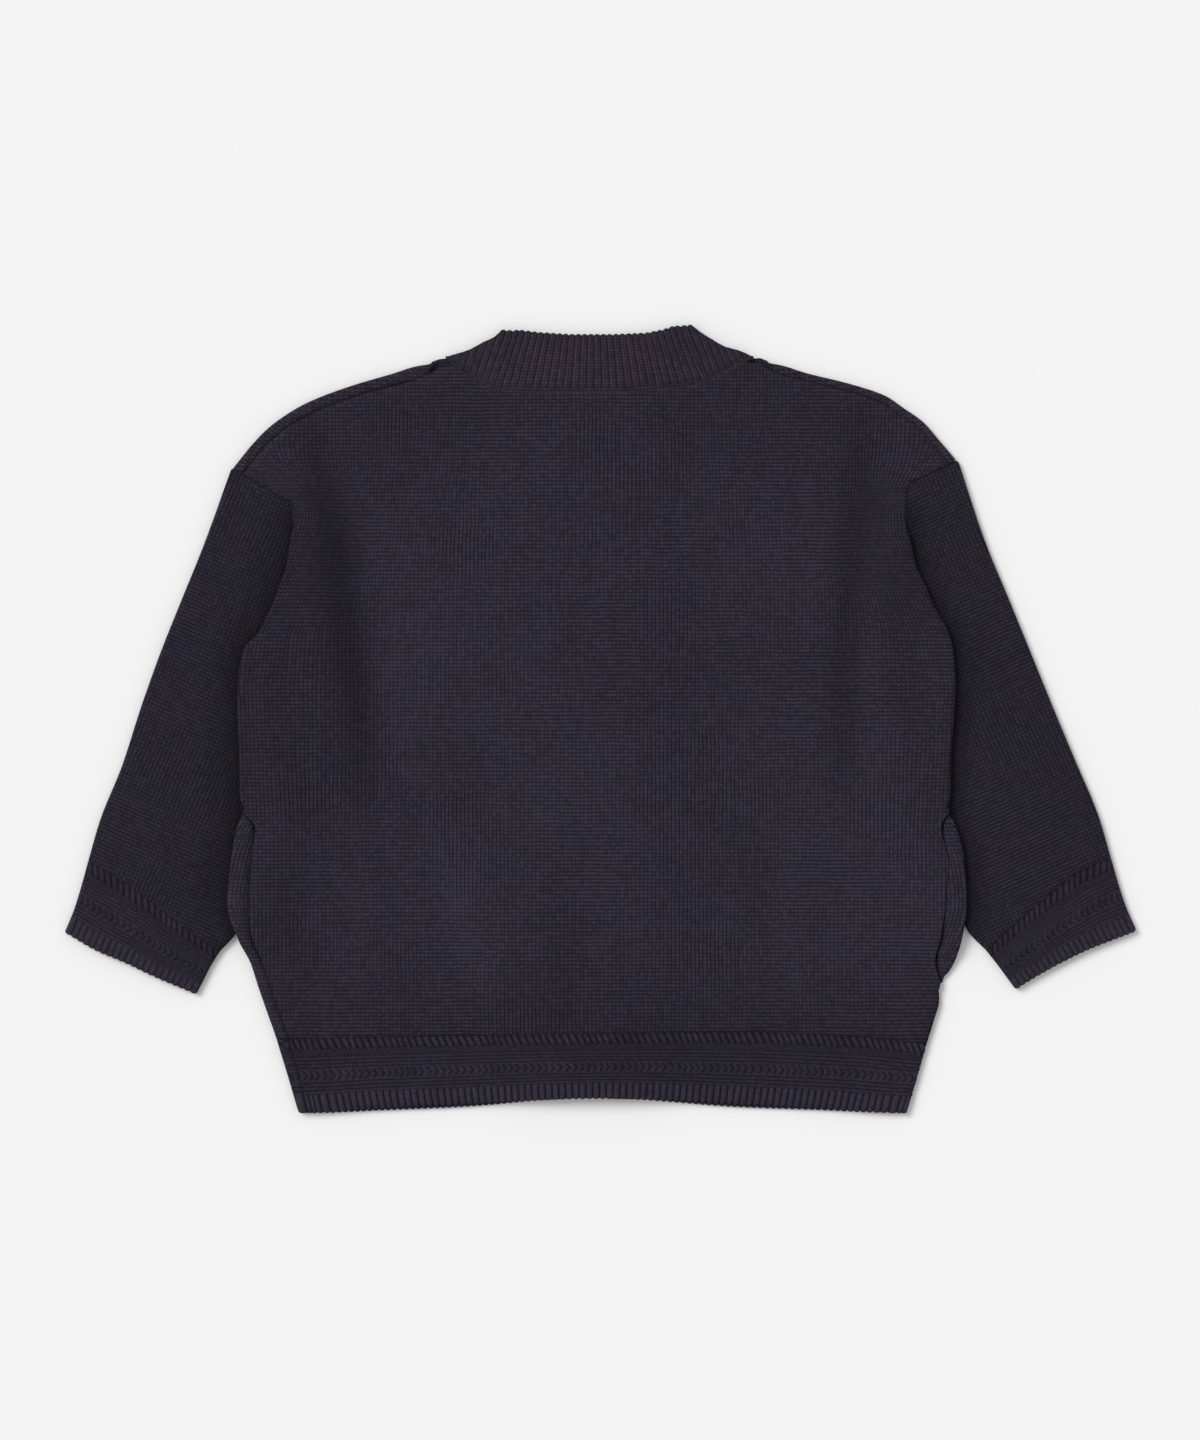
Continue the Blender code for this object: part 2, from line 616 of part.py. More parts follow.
def collar_point(u, height):
    """The neckband's middle surface: u -1 to 1 on the back, side folds to 2, then the fronts to 3."""
    sign = -1 if u < 0 else 1
    side = abs(u)
    height = min(1.0, max(0.0, height))
    if side <= 1:
        plan = COLLAR_SEAM_BACK(u) * (1 - height) + COLLAR_FREE_BACK(u) * height
        plan = plan + collar_bow(sign, height, 1 - side)
        return np.array([plan[0], plan[1], HALF + LAYER + back_lift(plan[0], plan[1])])
    if side <= 2:
        fold, outward = collar_fold(sign, height)
        turned = math.pi * (side - 1)
        plan = fold + outward * ROLL * math.sin(turned)
        return np.array([plan[0], plan[1], HALF + ROLL + ROLL * math.cos(turned)])
    seam, free = COLLAR_FRONT[sign]
    plan = seam(side - 2) * (1 - height) + free(side - 2) * height
    plan = plan + collar_bow(sign, height, side - 2)
    return np.array([plan[0], plan[1], HALF + front_lift(plan[0], plan[1])])


NEAR_U = 0.004
NEAR_V = 0.16


def facing(point, u, v, ends_u, ends_v):
    """The direction square to a surface, from its own nearby points."""
    u0, u1 = max(ends_u[0], u - NEAR_U), min(ends_u[1], u + NEAR_U)
    v0, v1 = max(ends_v[0], v - NEAR_V), min(ends_v[1], v + NEAR_V)
    return unit(np.cross(point(u1, v) - point(u0, v), point(u, v1) - point(u, v0)))


def zipped(faces, first, first_shares, second, second_shares):
    """Triangles between two rows of points that need not have the same number of points."""
    i = j = 0
    while i < len(first) - 1 or j < len(second) - 1:
        take_first = j == len(second) - 1 or (
            i < len(first) - 1 and first_shares[i + 1] <= second_shares[j + 1] + 1e-9
        )
        if take_first:
            faces.append((first[i], first[i + 1], second[j]))
            i += 1
        else:
            faces.append((first[i], second[j + 1], second[j]))
            j += 1


def wall(name, colour, point, outer_rows, inner_rows, relief=None, closed=False, flip=1.0):
    """A closed wall on a middle surface. Each row is (v, us); a raised pattern is on the outer face only."""
    points = []
    faces = []
    ends_u = (-math.inf, math.inf) if closed else (outer_rows[0][1][0], outer_rows[0][1][-1])
    ends_v = (outer_rows[0][0], outer_rows[-1][0])

    def skin(rows, side):
        made = []
        for v, us in rows:
            indices = []
            for u in us[:-1] if closed else us:
                spot = point(u, v)
                out = facing(point, u, v, ends_u, ends_v) * flip
                extra = relief(u, v, out) if relief and side > 0 else 0.0
                spot = spot + out * side * (HALF + extra)
                spot[2] = max(0.0, spot[2])
                indices.append(len(points))
                points.append(spot)
            if closed:
                indices.append(indices[0])
            made.append((v, us, indices))
        for (_, us_a, a), (_, us_b, b) in zip(made, made[1:]):
            zipped(faces, a, us_a, b, us_b)
        return made

    outer = skin(outer_rows, 1)
    inner = skin(inner_rows, -1)
    for row in (0, -1):
        zipped(faces, outer[row][2], outer[row][1], inner[row][2], inner[row][1])
    if not closed:
        for end in (0, -1):
            zipped(
                faces,
                [ids[end] for _, _, ids in outer],
                [v for v, _, _ in outer],
                [ids[end] for _, _, ids in inner],
                [v for v, _, _ in inner],
            )
    return solid(name, colour, points, faces, CLOTH_ROUGHNESS)


def solid(name, colour, points, faces, rough):
    """A closed mesh from points in millimetres and faces, with its outside facing out and a plain colour."""
    mesh = bpy.data.meshes.new(name)
    model = bmesh.new()
    made = [model.verts.new([c * MM for c in spot]) for spot in points]
    for corners in faces:
        model.faces.new([made[i] for i in corners])
    bmesh.ops.recalc_face_normals(model, faces=model.faces[:])
    if model.calc_volume(signed=True) < 0:
        bmesh.ops.reverse_faces(model, faces=model.faces[:])
    model.to_mesh(mesh)
    model.free()
    thing = bpy.data.objects.new(name, mesh)
    bpy.context.scene.collection.objects.link(thing)
    material = bpy.data.materials.new(name + "_material")
    material.use_nodes = True
    shader = material.node_tree.nodes["Principled BSDF"]
    shader.inputs["Base Color"].default_value = (*COLOURS[colour], 1.0)
    shader.inputs["Roughness"].default_value = rough
    shader.inputs["Metallic"].default_value = 0.0
    mesh.materials.append(material)
    return thing


def spaced(start, end, count):
    return [start + (end - start) * i / count for i in range(count + 1)]


ROLL_STEPS = [0.15, 0.3, 0.45, 0.6, 1.0]


def back_columns(main):
    inner = [-u for u in reversed(ROLL_STEPS)]
    return [u - 1 for u in inner] + main + [1 + u for u in ROLL_STEPS]


def back_rows():
    rows = [row[0] for row in LEFT_SIDE if row[0] > HEM_TOP + 1] + [75.0, 95.0, 132.0]
    return sorted([HEM_TOP + GAP / 2] + rows)


def hem_relief(height):
    """The raised pattern of a band, by the distance from its free edge: ribs, garter ridges and open rows."""
    if height <= RIB_ZONE:
        return 0.0
    return GARTER_HEIGHT * (0.5 - 0.5 * math.cos(2 * math.pi * (height - RIB_ZONE) / GARTER_PITCH))


def clear_scene():
    for thing in list(bpy.data.objects):
        bpy.data.objects.remove(thing, do_unlink=True)


def make_back():
    us = back_columns(BACK_COLUMNS)
    rows = [(row, us) for row in back_rows()]
    wall("back", "body", back_point, rows, rows)


def make_hem_back():
    ribs = round(HEM_WIDTH / RIB_PITCH)
    fine = back_columns(spaced(-1, 1, 2 * ribs))
    coarse = back_columns(spaced(-1, 1, 30))
    top = HEM_TOP - GAP / 2

    def point(u, row):
        share = (row - HEM_BOTTOM) / HEM_HEIGHT
        lifted = back_point(u, row)
        lifted[1] += hem_sweep(lifted[0]) * (1 - share)
        return lifted

    def relief(u, row, out):
        if out[2] < FACING_UP:
            return 0.0
        height = row - HEM_BOTTOM
        if height <= RIB_ZONE:
            return RIB_HEIGHT * (0.5 + 0.5 * math.cos(math.pi * (u + 1) * ribs))
        return hem_relief(height)

    heights = [RIB_ZONE + 2.0, RIB_ZONE + 5.5, RIB_ZONE + 11.0, RIB_ZONE + 16.5, RIB_ZONE + 22.0]
    outer = [(HEM_BOTTOM, fine), (HEM_BOTTOM + RIB_ZONE, fine)]
    outer += [(HEM_BOTTOM + h, coarse) for h in heights] + [(top, coarse)]
    inner = [(HEM_BOTTOM, coarse), (HEM_BOTTOM + HEM_HEIGHT / 2, coarse), (top, coarse)]
    wall("hem_back", "band", point, outer, inner, relief)


def hem_sweep(x):
    """The hem's free edge bows up from its corners to the middle."""
    inner, outer = HEM_SHOULDER_EASE
    shoulder = ease((abs(x) - HEM_SHOULDER_FROM) / inner) * ease((HEM_SHOULDER_TO - abs(x)) / outer)
    return HEM_BOW * (1 - ease(abs(x) / HEM_BOW_HALF)) + HEM_SHOULDER * shoulder


OVER_ROWS = 10.0


def make_front(sign, name):
    us = FRONT_COLUMNS + [1 + u for u in ROLL_STEPS]

    def point(u, v):
        return front_point(sign, u, min(v, TIP_ROW), max(0.0, (v - TIP_ROW) / OVER_ROWS))

    rows = [(row, us) for row in back_rows()]
    rows += [(TIP_ROW + OVER_ROWS * k, us) for k in ROLL_STEPS]
    wall(name, "body", point, rows, rows, flip=sign)


def make_hem_front(sign, name):
    us = [0, 0.1, 0.25, 0.5, 0.75, 0.9, 1] + [1 + u for u in ROLL_STEPS]

    def point(u, row):
        share = (row - HEM_BOTTOM) / HEM_HEIGHT
        lifted = front_point(sign, u, row)
        lifted[1] += hem_sweep(lifted[0]) * (1 - share)
        return lifted

    rows = [(row, us) for row in (HEM_BOTTOM, -205.0, HEM_TOP - GAP / 2)]
    wall(name, "band", point, rows, rows, flip=sign)


def loop_columns(face, under, fold=4):
    columns = [FACE_SHARE * t for t in spaced(0, 1, face)][:-1]
    columns += spaced(FACE_SHARE, 0.5, fold)[:-1]
    columns += spaced(0.5, 0.5 + FACE_SHARE, under)[:-1]
    return columns + spaced(0.5 + FACE_SHARE, 1.0, fold)


def sleeve_length(sign):
    plan = SLEEVE_PLANS[sign][0]
    middles = [plan(0.5, d) for d in spaced(0, 1, 20)]
    return sum(np.linalg.norm(b - a) for a, b in zip(middles, middles[1:]))


def make_sleeve(sign, name):
    cuff_from = 1 - CUFF_LENGTH / sleeve_length(sign)
    gap = GAP / sleeve_length(sign) / 2
    us = loop_columns(12, 5)

    def point(u, v):
        return sleeve_point(sign, u, v / 100.0)

    rows = [(100 * v, us) for v in [0, 0.04, 0.1, 0.18, 0.28, 0.4, 0.52, 0.64, 0.76, cuff_from - gap]]
    wall("sleeve_" + name, "sleeve", point, rows, rows, closed=True, flip=-sign)

    ribs = round(CUFF_WIDTH / RIB_PITCH)
    fine = loop_columns(2 * ribs, 6)
    coarse = loop_columns(14, 6)
    rib_from = 1 - RIB_ZONE / sleeve_length(sign)

    def relief(u, v, out):
        if out[2] < FACING_UP:
            return 0.0
        height = (1 - v / 100.0) * sleeve_length(sign)
        if height <= RIB_ZONE + 0.1:
            return RIB_HEIGHT * (0.5 + 0.5 * math.cos(2 * math.pi * ribs * u / FACE_SHARE))
        return hem_relief(height)

    heights = [31.0, 25.5, 20.0, 14.5, 11.0]
    outer = [(100 * (cuff_from + gap), coarse)]
    outer += [(100 * (1 - h / sleeve_length(sign)), coarse) for h in heights]
    outer += [(100 * rib_from, fine), (100.0, fine)]
    inner = [(100 * (cuff_from + gap), coarse), (100 * (cuff_from + 1) / 2, coarse), (100.0, coarse)]
    wall("cuff_" + name, "band", point, outer, inner, relief, closed=True, flip=-sign)


def make_collar():
    back = spaced(-1, -COLLAR_RIBBED, 4)[:-1]
    back += spaced(-COLLAR_RIBBED, COLLAR_RIBBED, 2 * COLLAR_RIBS)
    back += spaced(COLLAR_RIBBED, 1, 4)[1:]
    fold = [0.2, 0.4, 0.6, 0.8]
    front = [0.0, 0.15, 0.3, 0.5, 0.75, 1.0]
    us = [-2 - s for s in reversed(front)] + [-1 - k for k in reversed(fold)] + back
    us += [1 + k for k in fold] + [2 + s for s in front]
    plain = [-2 - s for s in reversed(front)] + [-1 - k for k in reversed(fold)] + spaced(-1, 1, 20)
    plain += [1 + k for k in fold] + [2 + s for s in front]

    def point(u, v):
        return collar_point(u, v / 100.0)

    def relief(u, v, out):
        if abs(u) > COLLAR_RIBBED:
            return 0.0
        return RIB_HEIGHT * (0.5 + 0.5 * math.cos(math.pi * (u / COLLAR_RIBBED + 1) * COLLAR_RIBS))

    heights = (0.0, 12.0, 35.0, 60.0, 84.0, 100.0)
    outer = [(v, us) for v in heights]
    inner = [(v, plain) for v in heights]
    wall("neckband", "band", point, outer, inner, relief)


def make_bands():
    for name, level in (("button_band_left", 0), ("button_band_right", 1)):

        def point(u, v, level=level):
            x = BAND_LEFT + (BAND_RIGHT - BAND_LEFT) * u
            return np.array([x, v, HALF + BUTTON_LIFT + level * LAYER])

        us = spaced(0, 1, 2)
        rows = [(v, us) for v in spaced(HEM_BOTTOM + HEM_BOW, BAND_TOP, 4)]
        wall(name, "band", point, rows, rows)


def make_buttons():
    """Turned discs with a rim and a dished middle, face down on the floor under the outer band."""
    radius = BUTTON_DIAMETER / 2
    # out, up from the floor
    profile = ((0.0, 0.5), (3.8, 0.5), (4.4, 0.0), (5.7, 0.0), (radius, 0.6))
    profile += ((5.7, BUTTON_THICK), (0.0, BUTTON_THICK))
    middle = (BAND_LEFT + BAND_RIGHT) / 2
    for i in range(BUTTON_COUNT):
        up = BUTTON_FIRST + i * BUTTON_PITCH
        points = []
        faces = []
        count = 16
        rings = []
        for out, high in profile:
            if out == 0.0:
                rings.append([len(points)] * (count + 1))
                points.append(np.array([middle, up, high]))
                continue
            ring = []
            for k in range(count):
                angle = 2 * math.pi * k / count
                ring.append(len(points))
                points.append(np.array([middle + out * math.cos(angle), up + out * math.sin(angle), high]))
            rings.append(ring + ring[:1])
        for a, b in zip(rings, rings[1:]):
            for k in range(count):
                quad = [a[k], a[k + 1], b[k + 1], b[k]]
                corners = [c for n, c in enumerate(quad) if c not in quad[:n]]
                faces.append(tuple(corners))
        solid("button_" + str(i + 1), "button", points, faces, BUTTON_ROUGHNESS)


clear_scene()
make_back()
make_hem_back()
make_front(-1, "front_left")
make_front(1, "front_right")
make_hem_front(-1, "hem_front_left")
make_hem_front(1, "hem_front_right")
make_sleeve(-1, "left")
make_sleeve(1, "right")
make_collar()
make_bands()
make_buttons()
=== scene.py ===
# %% [markdown]
# # A knitted cardigan laid on its front
#
# The packed model gives the cardigan as plain walls of cloth, each in its real place. This script dresses
# those walls: it lays a finer shell over each one, raises the ribs and garter rows of the bands in it, puts
# soft folds into it, and gives it a knitted finish made with nodes.

# %% Load the frame
import math

import bmesh
import bpy
import numpy as np
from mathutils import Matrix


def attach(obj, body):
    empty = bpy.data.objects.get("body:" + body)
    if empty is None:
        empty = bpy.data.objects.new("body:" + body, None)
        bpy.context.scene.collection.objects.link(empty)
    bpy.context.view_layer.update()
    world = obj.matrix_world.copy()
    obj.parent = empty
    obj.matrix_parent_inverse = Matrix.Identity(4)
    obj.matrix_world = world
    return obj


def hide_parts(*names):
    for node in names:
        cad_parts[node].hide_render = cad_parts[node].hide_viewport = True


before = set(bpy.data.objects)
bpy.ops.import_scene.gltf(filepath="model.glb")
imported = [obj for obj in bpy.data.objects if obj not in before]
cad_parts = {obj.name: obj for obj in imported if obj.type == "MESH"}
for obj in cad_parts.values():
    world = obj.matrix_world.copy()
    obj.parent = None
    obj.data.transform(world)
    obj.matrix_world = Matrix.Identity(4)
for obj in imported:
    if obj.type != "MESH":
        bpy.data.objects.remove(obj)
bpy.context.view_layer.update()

print("nodes:", sorted(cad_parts))

# %% [markdown]
# ## The camera
#
# The garment was photographed from straight above. A long lens a good way off gives hardly any perspective,
# which suits a thing that is only a centimetre high. The frame is measured on the garment: one pixel of the
# picture is 0.565 mm there, and the picture is 1200 by 1440 pixels.

# %% Camera
MM = 0.001
PIXEL = 0.565 * MM
PICTURE_HIGH = 1440
CLOTH_LEVEL = 5 * MM
LENS = 100.0
SENSOR = 36.0

camera_data = bpy.data.cameras.new("camera")
camera_data.lens = LENS
camera_data.sensor_width = SENSOR
camera = bpy.data.objects.new("camera", camera_data)
bpy.context.scene.collection.objects.link(camera)
camera.location = (0.0, 0.0, CLOTH_LEVEL + PIXEL * PICTURE_HIGH * LENS / SENSOR)
bpy.context.scene.camera = camera
print("camera height in m:", round(camera.location.z, 3))

# %% [markdown]
# ## Floor and light
#
# A catalogue picture has a pale sheet below and light from all round, so that shadows are faint. An even sky
# gives most of the light. One large soft lamp from the neck side adds the little direction that lets ribs,
# seams and folds be seen on dark cloth. A sun lamp with a wide angle lights the whole floor equally.

# %% Floor and light
FLOOR_COLOUR = (0.88, 0.88, 0.88, 1.0)
FLOOR_DROP = 0.0002
SKY_STRENGTH = 0.60
SUN_STRENGTH = 1.95
SUN_SPREAD = math.radians(30)
SUN_TILT = (math.radians(-24), math.radians(-40), 0.0)

floor_mesh = bpy.data.meshes.new("floor")
floor_model = bmesh.new()
bmesh.ops.create_grid(floor_model, x_segments=1, y_segments=1, size=3.0)
bmesh.ops.translate(floor_model, vec=(0.0, 0.0, -FLOOR_DROP), verts=floor_model.verts[:])
floor_model.to_mesh(floor_mesh)
floor_model.free()
floor = bpy.data.objects.new("floor", floor_mesh)
bpy.context.scene.collection.objects.link(floor)
floor_finish = bpy.data.materials.new("pale_sheet")
floor_finish.use_nodes = True
floor_shader = floor_finish.node_tree.nodes["Principled BSDF"]
floor_shader.inputs["Base Color"].default_value = FLOOR_COLOUR
floor_shader.inputs["Roughness"].default_value = 1.0
floor_shader.inputs["Specular IOR Level"].default_value = 0.0
floor_mesh.materials.append(floor_finish)

world = bpy.data.worlds.new("even_sky")
world.use_nodes = True
world.node_tree.nodes["Background"].inputs["Color"].default_value = (1.0, 1.0, 1.0, 1.0)
world.node_tree.nodes["Background"].inputs["Strength"].default_value = SKY_STRENGTH
bpy.context.scene.world = world

sun_data = bpy.data.lights.new("soft_lamp", "SUN")
sun_data.energy = SUN_STRENGTH
sun_data.angle = SUN_SPREAD
sun = bpy.data.objects.new("soft_lamp", sun_data)
sun.rotation_euler = SUN_TILT
bpy.context.scene.collection.objects.link(sun)
bpy.context.scene.view_settings.view_transform = "Standard"
print("sky", SKY_STRENGTH, "lamp", SUN_STRENGTH)

# %% [markdown]
# ## The sizes of the cardigan
#
# A knitted garment is a few flat shapes laid on each other. These are its sizes in millimetres: the cloth's
# thickness, the heights of its parts up the body, and how high each layer lies. They are the same sizes that
# the packed model was made from, so that each finer shell falls on its own wall.

# %% Sizes in millimetres
# The cloth, the gap between two pieces, and the half circle of a turned edge
CLOTH = 2.0
GAP = 0.3
HALF = CLOTH / 2
LAYER = CLOTH + GAP
ROLL = LAYER / 2
ROLL_LENGTH = math.pi * ROLL

# Rows up the body
HEM_BOTTOM = -222.0
HEM_HEIGHT = 38.0
HEM_TOP = HEM_BOTTOM + HEM_HEIGHT
CROSSING_ROW = -51.0
UNDERARM_ROW = 11.0
NECK_RAMP_START = 40.0
CAP_ROW = 121.2
TIP_ROW = 142.7
NECK_LEVEL_ROW = 218.0

# The button bands, one on the other, and the thickness of the buttons between them
BAND_LEFT = -16.0
BAND_RIGHT = 3.5
BUTTON_THICK = 2.2
print("cloth", CLOTH, "mm thick, layers", LAYER, "mm apart")

# %% [markdown]
# ## The outline in short tables
#
# The sides of the body are a table with a row for every height: where each outline is, where the side seam
# lies, and whether it is the back that turns under there or the front that turns up over the edge.

# %% Sides of the body
# From the hem up, with distances out from the middle line in millimetres. A turn is 1 where the back turns
# under, -1 where the front turns up over the edge, and 0 where neither does. The left side comes first:
# row, outline, seam, turn, then the right side's outline, seam, turn, and how far the row rises there
SIDE_ROWS = (
    (-222.0, 170.6, 165.0, -1, 173.5, 168.0, 1, 0.0),
    (-205.0, 176.0, 169.5, -1, 178.6, 173.0, 1, 0.0),
    (-184.0, 183.0, 175.8, -1, 184.8, 179.0, 1, 0.0),
    (-170.0, 187.4, 180.5, -1, 189.0, 183.5, 1, 0.0),
    (-158.0, 191.0, 184.5, -1, 192.0, 186.5, 1, 0.0),
    (-150.0, 193.6, 187.0, -1, 194.0, 194.0, 0, 0.0),
    (-137.0, 197.8, 190.8, -1, 200.4, 191.0, -1, 0.0),
    (-123.4, 204.5, 196.5, -1, 204.5, 192.5, -1, 0.0),
    (-104.0, 210.4, 198.8, -1, 207.1, 195.0, -1, 0.0),
    (-81.0, 208.6, 197.5, -1, 205.9, 196.8, -1, 0.0),
    (-60.0, 204.6, 196.0, -1, 201.0, 194.0, -1, 0.0),
    (-51.0, 203.4, 203.4, 0, 198.6, 198.6, 0, 0.0),
    (-42.0, 203.4, 195.0, 1, 197.9, 190.0, 1, 0.0),
    (-22.3, 203.6, 184.0, 1, 198.3, 180.0, 1, 0.0),
    (-0.8, 204.5, 172.4, 1, 199.8, 171.4, 1, 0.0),
    (11.0, 204.7, 169.5, 1, 200.6, 168.5, 1, 0.0),
    (20.6, 204.5, 169.8, 1, 200.8, 168.8, 1, 0.0),
    (40.4, 201.1, 170.6, 1, 199.4, 169.6, 1, 0.0),
    (48.9, 193.2, 170.9, 1, 197.2, 169.9, 1, 0.0),
    (64.1, 185.3, 171.4, 1, 188.4, 170.5, 1, 1.0),
    (85.6, 177.4, 172.2, 1, 178.6, 171.4, 1, 2.0),
    (104.0, 174.2, 172.9, 1, 173.8, 172.3, 1, 4.0),
    (112.0, 173.2, 173.2, 0, 172.3, 172.3, 0, 7.0),
    (121.2, 173.5, 173.5, 0, 173.5, 173.5, 0, 11.9),
    (142.7, 207.4, 207.4, 0, 201.2, 201.2, 0, 4.4),
)
SIDES = {
    -1: [(row, 0.0, outline, seam, turn) for row, outline, seam, turn, *_ in SIDE_ROWS],
    1: [(row, rise, outline, seam, turn) for row, _, _, _, outline, seam, turn, rise in SIDE_ROWS],
}
print(len(SIDE_ROWS), "heights on each side")

# %% [markdown]
# ## The other outlines
#
# The neck, shoulders, sleeves and neckband are short lines of points, read off the photo and scaled. A line
# of ten points is enough for each, because a smooth curve is laid through them. Pairs of lines, one for each
# side, are kept under -1 and 1, the sign of x on that side. A garment is never quite even, so they differ.

# %% Neck, shoulders, sleeves and neckband
# The back's neck seam, from one neck point to the other. across, up
NECK_SEAM = (
    (-81.5, 200.6), (-76.8, 197.4), (-69.5, 192.0), (-61.0, 187.2), (-41.2, 185.4), (-17.0, 184.8),
    (12.4, 184.8), (32.2, 186.7), (52.0, 189.3), (63.8, 193.5), (74.0, 199.2), (79.5, 202.6),
)
# The front's neck seam from the button band out to the neck point, then the fold along the shoulder.
FRONT_NECK = ((26.0, 152.6), (44.0, 158.6), (63.0, 170.6), (79.0, 187.8), (86.8, 202.6))
SHOULDER_FOLD = {
    -1: (
        (88.0, 204.2), (93.2, 202.6), (119.8, 195.2), (141.8, 188.6), (160.5, 181.7), (173.5, 174.9),
        (183.6, 168.1), (191.5, 161.3), (197.8, 154.5), (207.4, 142.7),
    ),
    1: (
        (88.0, 204.8), (96.0, 202.2), (119.8, 195.4), (148.0, 188.2), (164.4, 181.7), (173.5, 174.9),
        (183.0, 168.1), (189.3, 161.3), (194.4, 155.0), (201.2, 147.1),
    ),
}

# Sleeve outlines from the armhole down. out, up
SLEEVE_OUTER = {
    -1: (
        (208.8, 141.6), (223.7, 100.3), (240.1, 59.6), (255.9, 18.9), (268.9, -21.8), (282.5, -55.7),
        (290.4, -82.8), (296.1, -103.1), (302.8, -120.1),
    ),
    1: (
        (202.9, 145.8), (218.1, 100.3), (235.0, 59.6), (251.4, 18.9), (268.4, -21.8), (282.5, -55.7),
        (290.4, -82.8), (296.6, -103.1), (303.4, -118.9),
    ),
}
SLEEVE_INNER = {
    -1: ((169.8, 10.7), (188.0, -56.0), (205.7, -120.6), (215.8, -132.0), (228.3, -155.1)),
    1: ((168.8, 10.7), (188.0, -54.0), (206.8, -117.2), (219.8, -132.0), (235.0, -152.3)),
}
CUFF_EDGE = {
    -1: ((302.8, -120.1), (284.8, -130.2), (267.8, -137.4), (253.7, -144.2), (228.3, -155.1)),
    1: ((303.4, -118.9), (274.0, -130.6), (261.0, -137.0), (248.6, -143.8), (235.0, -152.3)),
}

# Neckband: the folds at its two sides, from the seam to the free edge, and its edges. out, up
COLLAR_FOLD = {
    -1: ((85.8, 205.3), (78.0, 206.8), (73.5, 207.9), (65.0, 211.6), (58.2, 214.9), (54.0, 218.9)),
    1: ((85.2, 205.4), (78.4, 207.9), (69.5, 209.8), (62.0, 213.4), (55.8, 217.2), (50.2, 221.6)),
}
COLLAR_EDGE_BACK = (
    (-49.8, 219.9), (-46.0, 220.3), (-34.0, 218.9), (-17.0, 217.8), (7.0, 217.8), (26.0, 218.6),
    (35.3, 220.4), (42.2, 222.6), (46.0, 222.6),
)
COLLAR_SEAM_FRONT = ((78.0, 189.6), (63.0, 172.4), (44.0, 160.2), (26.0, 154.0))
COLLAR_EDGE_FRONT = ((49.0, 204.0), (42.0, 193.0), (33.0, 186.0), (24.0, 183.0))
print(len(NECK_SEAM), "points on the neck seam,", len(SLEEVE_OUTER[1]), "down a sleeve")

# %% [markdown]
# ## Curves
#
# A smooth curve through a few points can swing wide between them, which would bend a straight hem. The curve
# here takes its slope from the slopes on both sides, and lies level wherever they disagree, so it never
# passes the points that it joins.

# %% Curves through points
def ease(t):
    """0 up to 1 with level ends."""
    t = min(1.0, max(0.0, t))
    return t * t * (3 - 2 * t)


def steady(knots, values):
    """A curve through the values that never swings past them, read at one place or at many."""
    knots = np.asarray(knots, float)
    values = np.asarray(values, float)
    deep = (1,) * (values.ndim - 1)
    widths = np.diff(knots).reshape(-1, *deep)
    rises = np.diff(values, axis=0) / widths
    product = rises[:-1] * rises[1:]
    total = np.where(product > 0, rises[:-1] + rises[1:], 1.0)
    middle = np.where(product > 0, 2 * product / total, 0.0)
    slopes = np.concatenate([rises[:1], middle, rises[-1:]])

    def at(wanted):
        wanted = np.asarray(wanted, float)
        i = np.minimum(np.maximum(np.searchsorted(knots, wanted, side="right") - 1, 0), len(knots) - 2)
        t = (wanted - knots[i]).reshape(wanted.shape + deep) / widths[i]
        flat = (1 + 2 * t) * (1 - t) ** 2 * values[i] + t * t * (3 - 2 * t) * values[i + 1]
        return flat + widths[i] * (t * (1 - t) ** 2 * slopes[i] + t * t * (t - 1) * slopes[i + 1])

    return at


def walked(points):
    """How far along a line of points each one is, from the first."""
    return np.concatenate([[0.0], np.cumsum(np.linalg.norm(np.diff(points, axis=0), axis=1))])


def read_line(places, lengths, points):
    """The points at some places along a line of straight pieces."""
    return np.stack([np.interp(places, lengths, axis) for axis in np.transpose(points)], axis=-1)


def path(points):
    """A smooth plan curve through the points, read by its share of the length from 0 to 1."""
    lengths = walked(points)
    return steady(lengths / lengths[-1], points)


def straight(points):
    """A line of straight pieces through the points, read by its share of the length from 0 to 1."""
    lengths = walked(points)
    return lambda share: read_line(share * lengths[-1], lengths, points)


def mirrored(points, sign):
    return [(sign * out, up) for out, up in points]


def unit(vector):
    return vector / np.linalg.norm(vector)


flattened = steady((0, 1, 2), (0, 1, 1))
print("a rise that stays level after 1:", [round(float(flattened(x)), 2) for x in (0.5, 1.0, 1.5)])

# %% [markdown]
# ## Turned edges
#
# Where cloth folds over an edge it makes a half circle whose width is one layer. A strip of cloth is walked
# along by its length: first round the half circle, then flat again on the other side.

# %% Turned edges
# The shortest strip past a turn, and how much of a turned strip's columns lie on its arc
LEAST_TURNING = 0.6
ARC_SHARE = 0.6


def roll(distance, turn):
    """How far out and how far up a strip has got, once it has turned through an angle."""
    if turn < 1e-4:
        return distance, 0.0
    radius = ROLL_LENGTH / turn
    angle = turn * min(distance, ROLL_LENGTH) / ROLL_LENGTH
    rest = max(0.0, distance - ROLL_LENGTH)
    out = radius * math.sin(angle) + rest * math.cos(turn)
    return out, radius * (1 - math.cos(angle)) + rest * math.sin(turn)


def strip_length(share, beyond):
    """The length along a turned strip: most of the share is its arc, whatever the length beyond it."""
    if share <= ARC_SHARE:
        return ROLL_LENGTH * share / ARC_SHARE
    return ROLL_LENGTH + beyond * (share - ARC_SHARE) / (1 - ARC_SHARE)


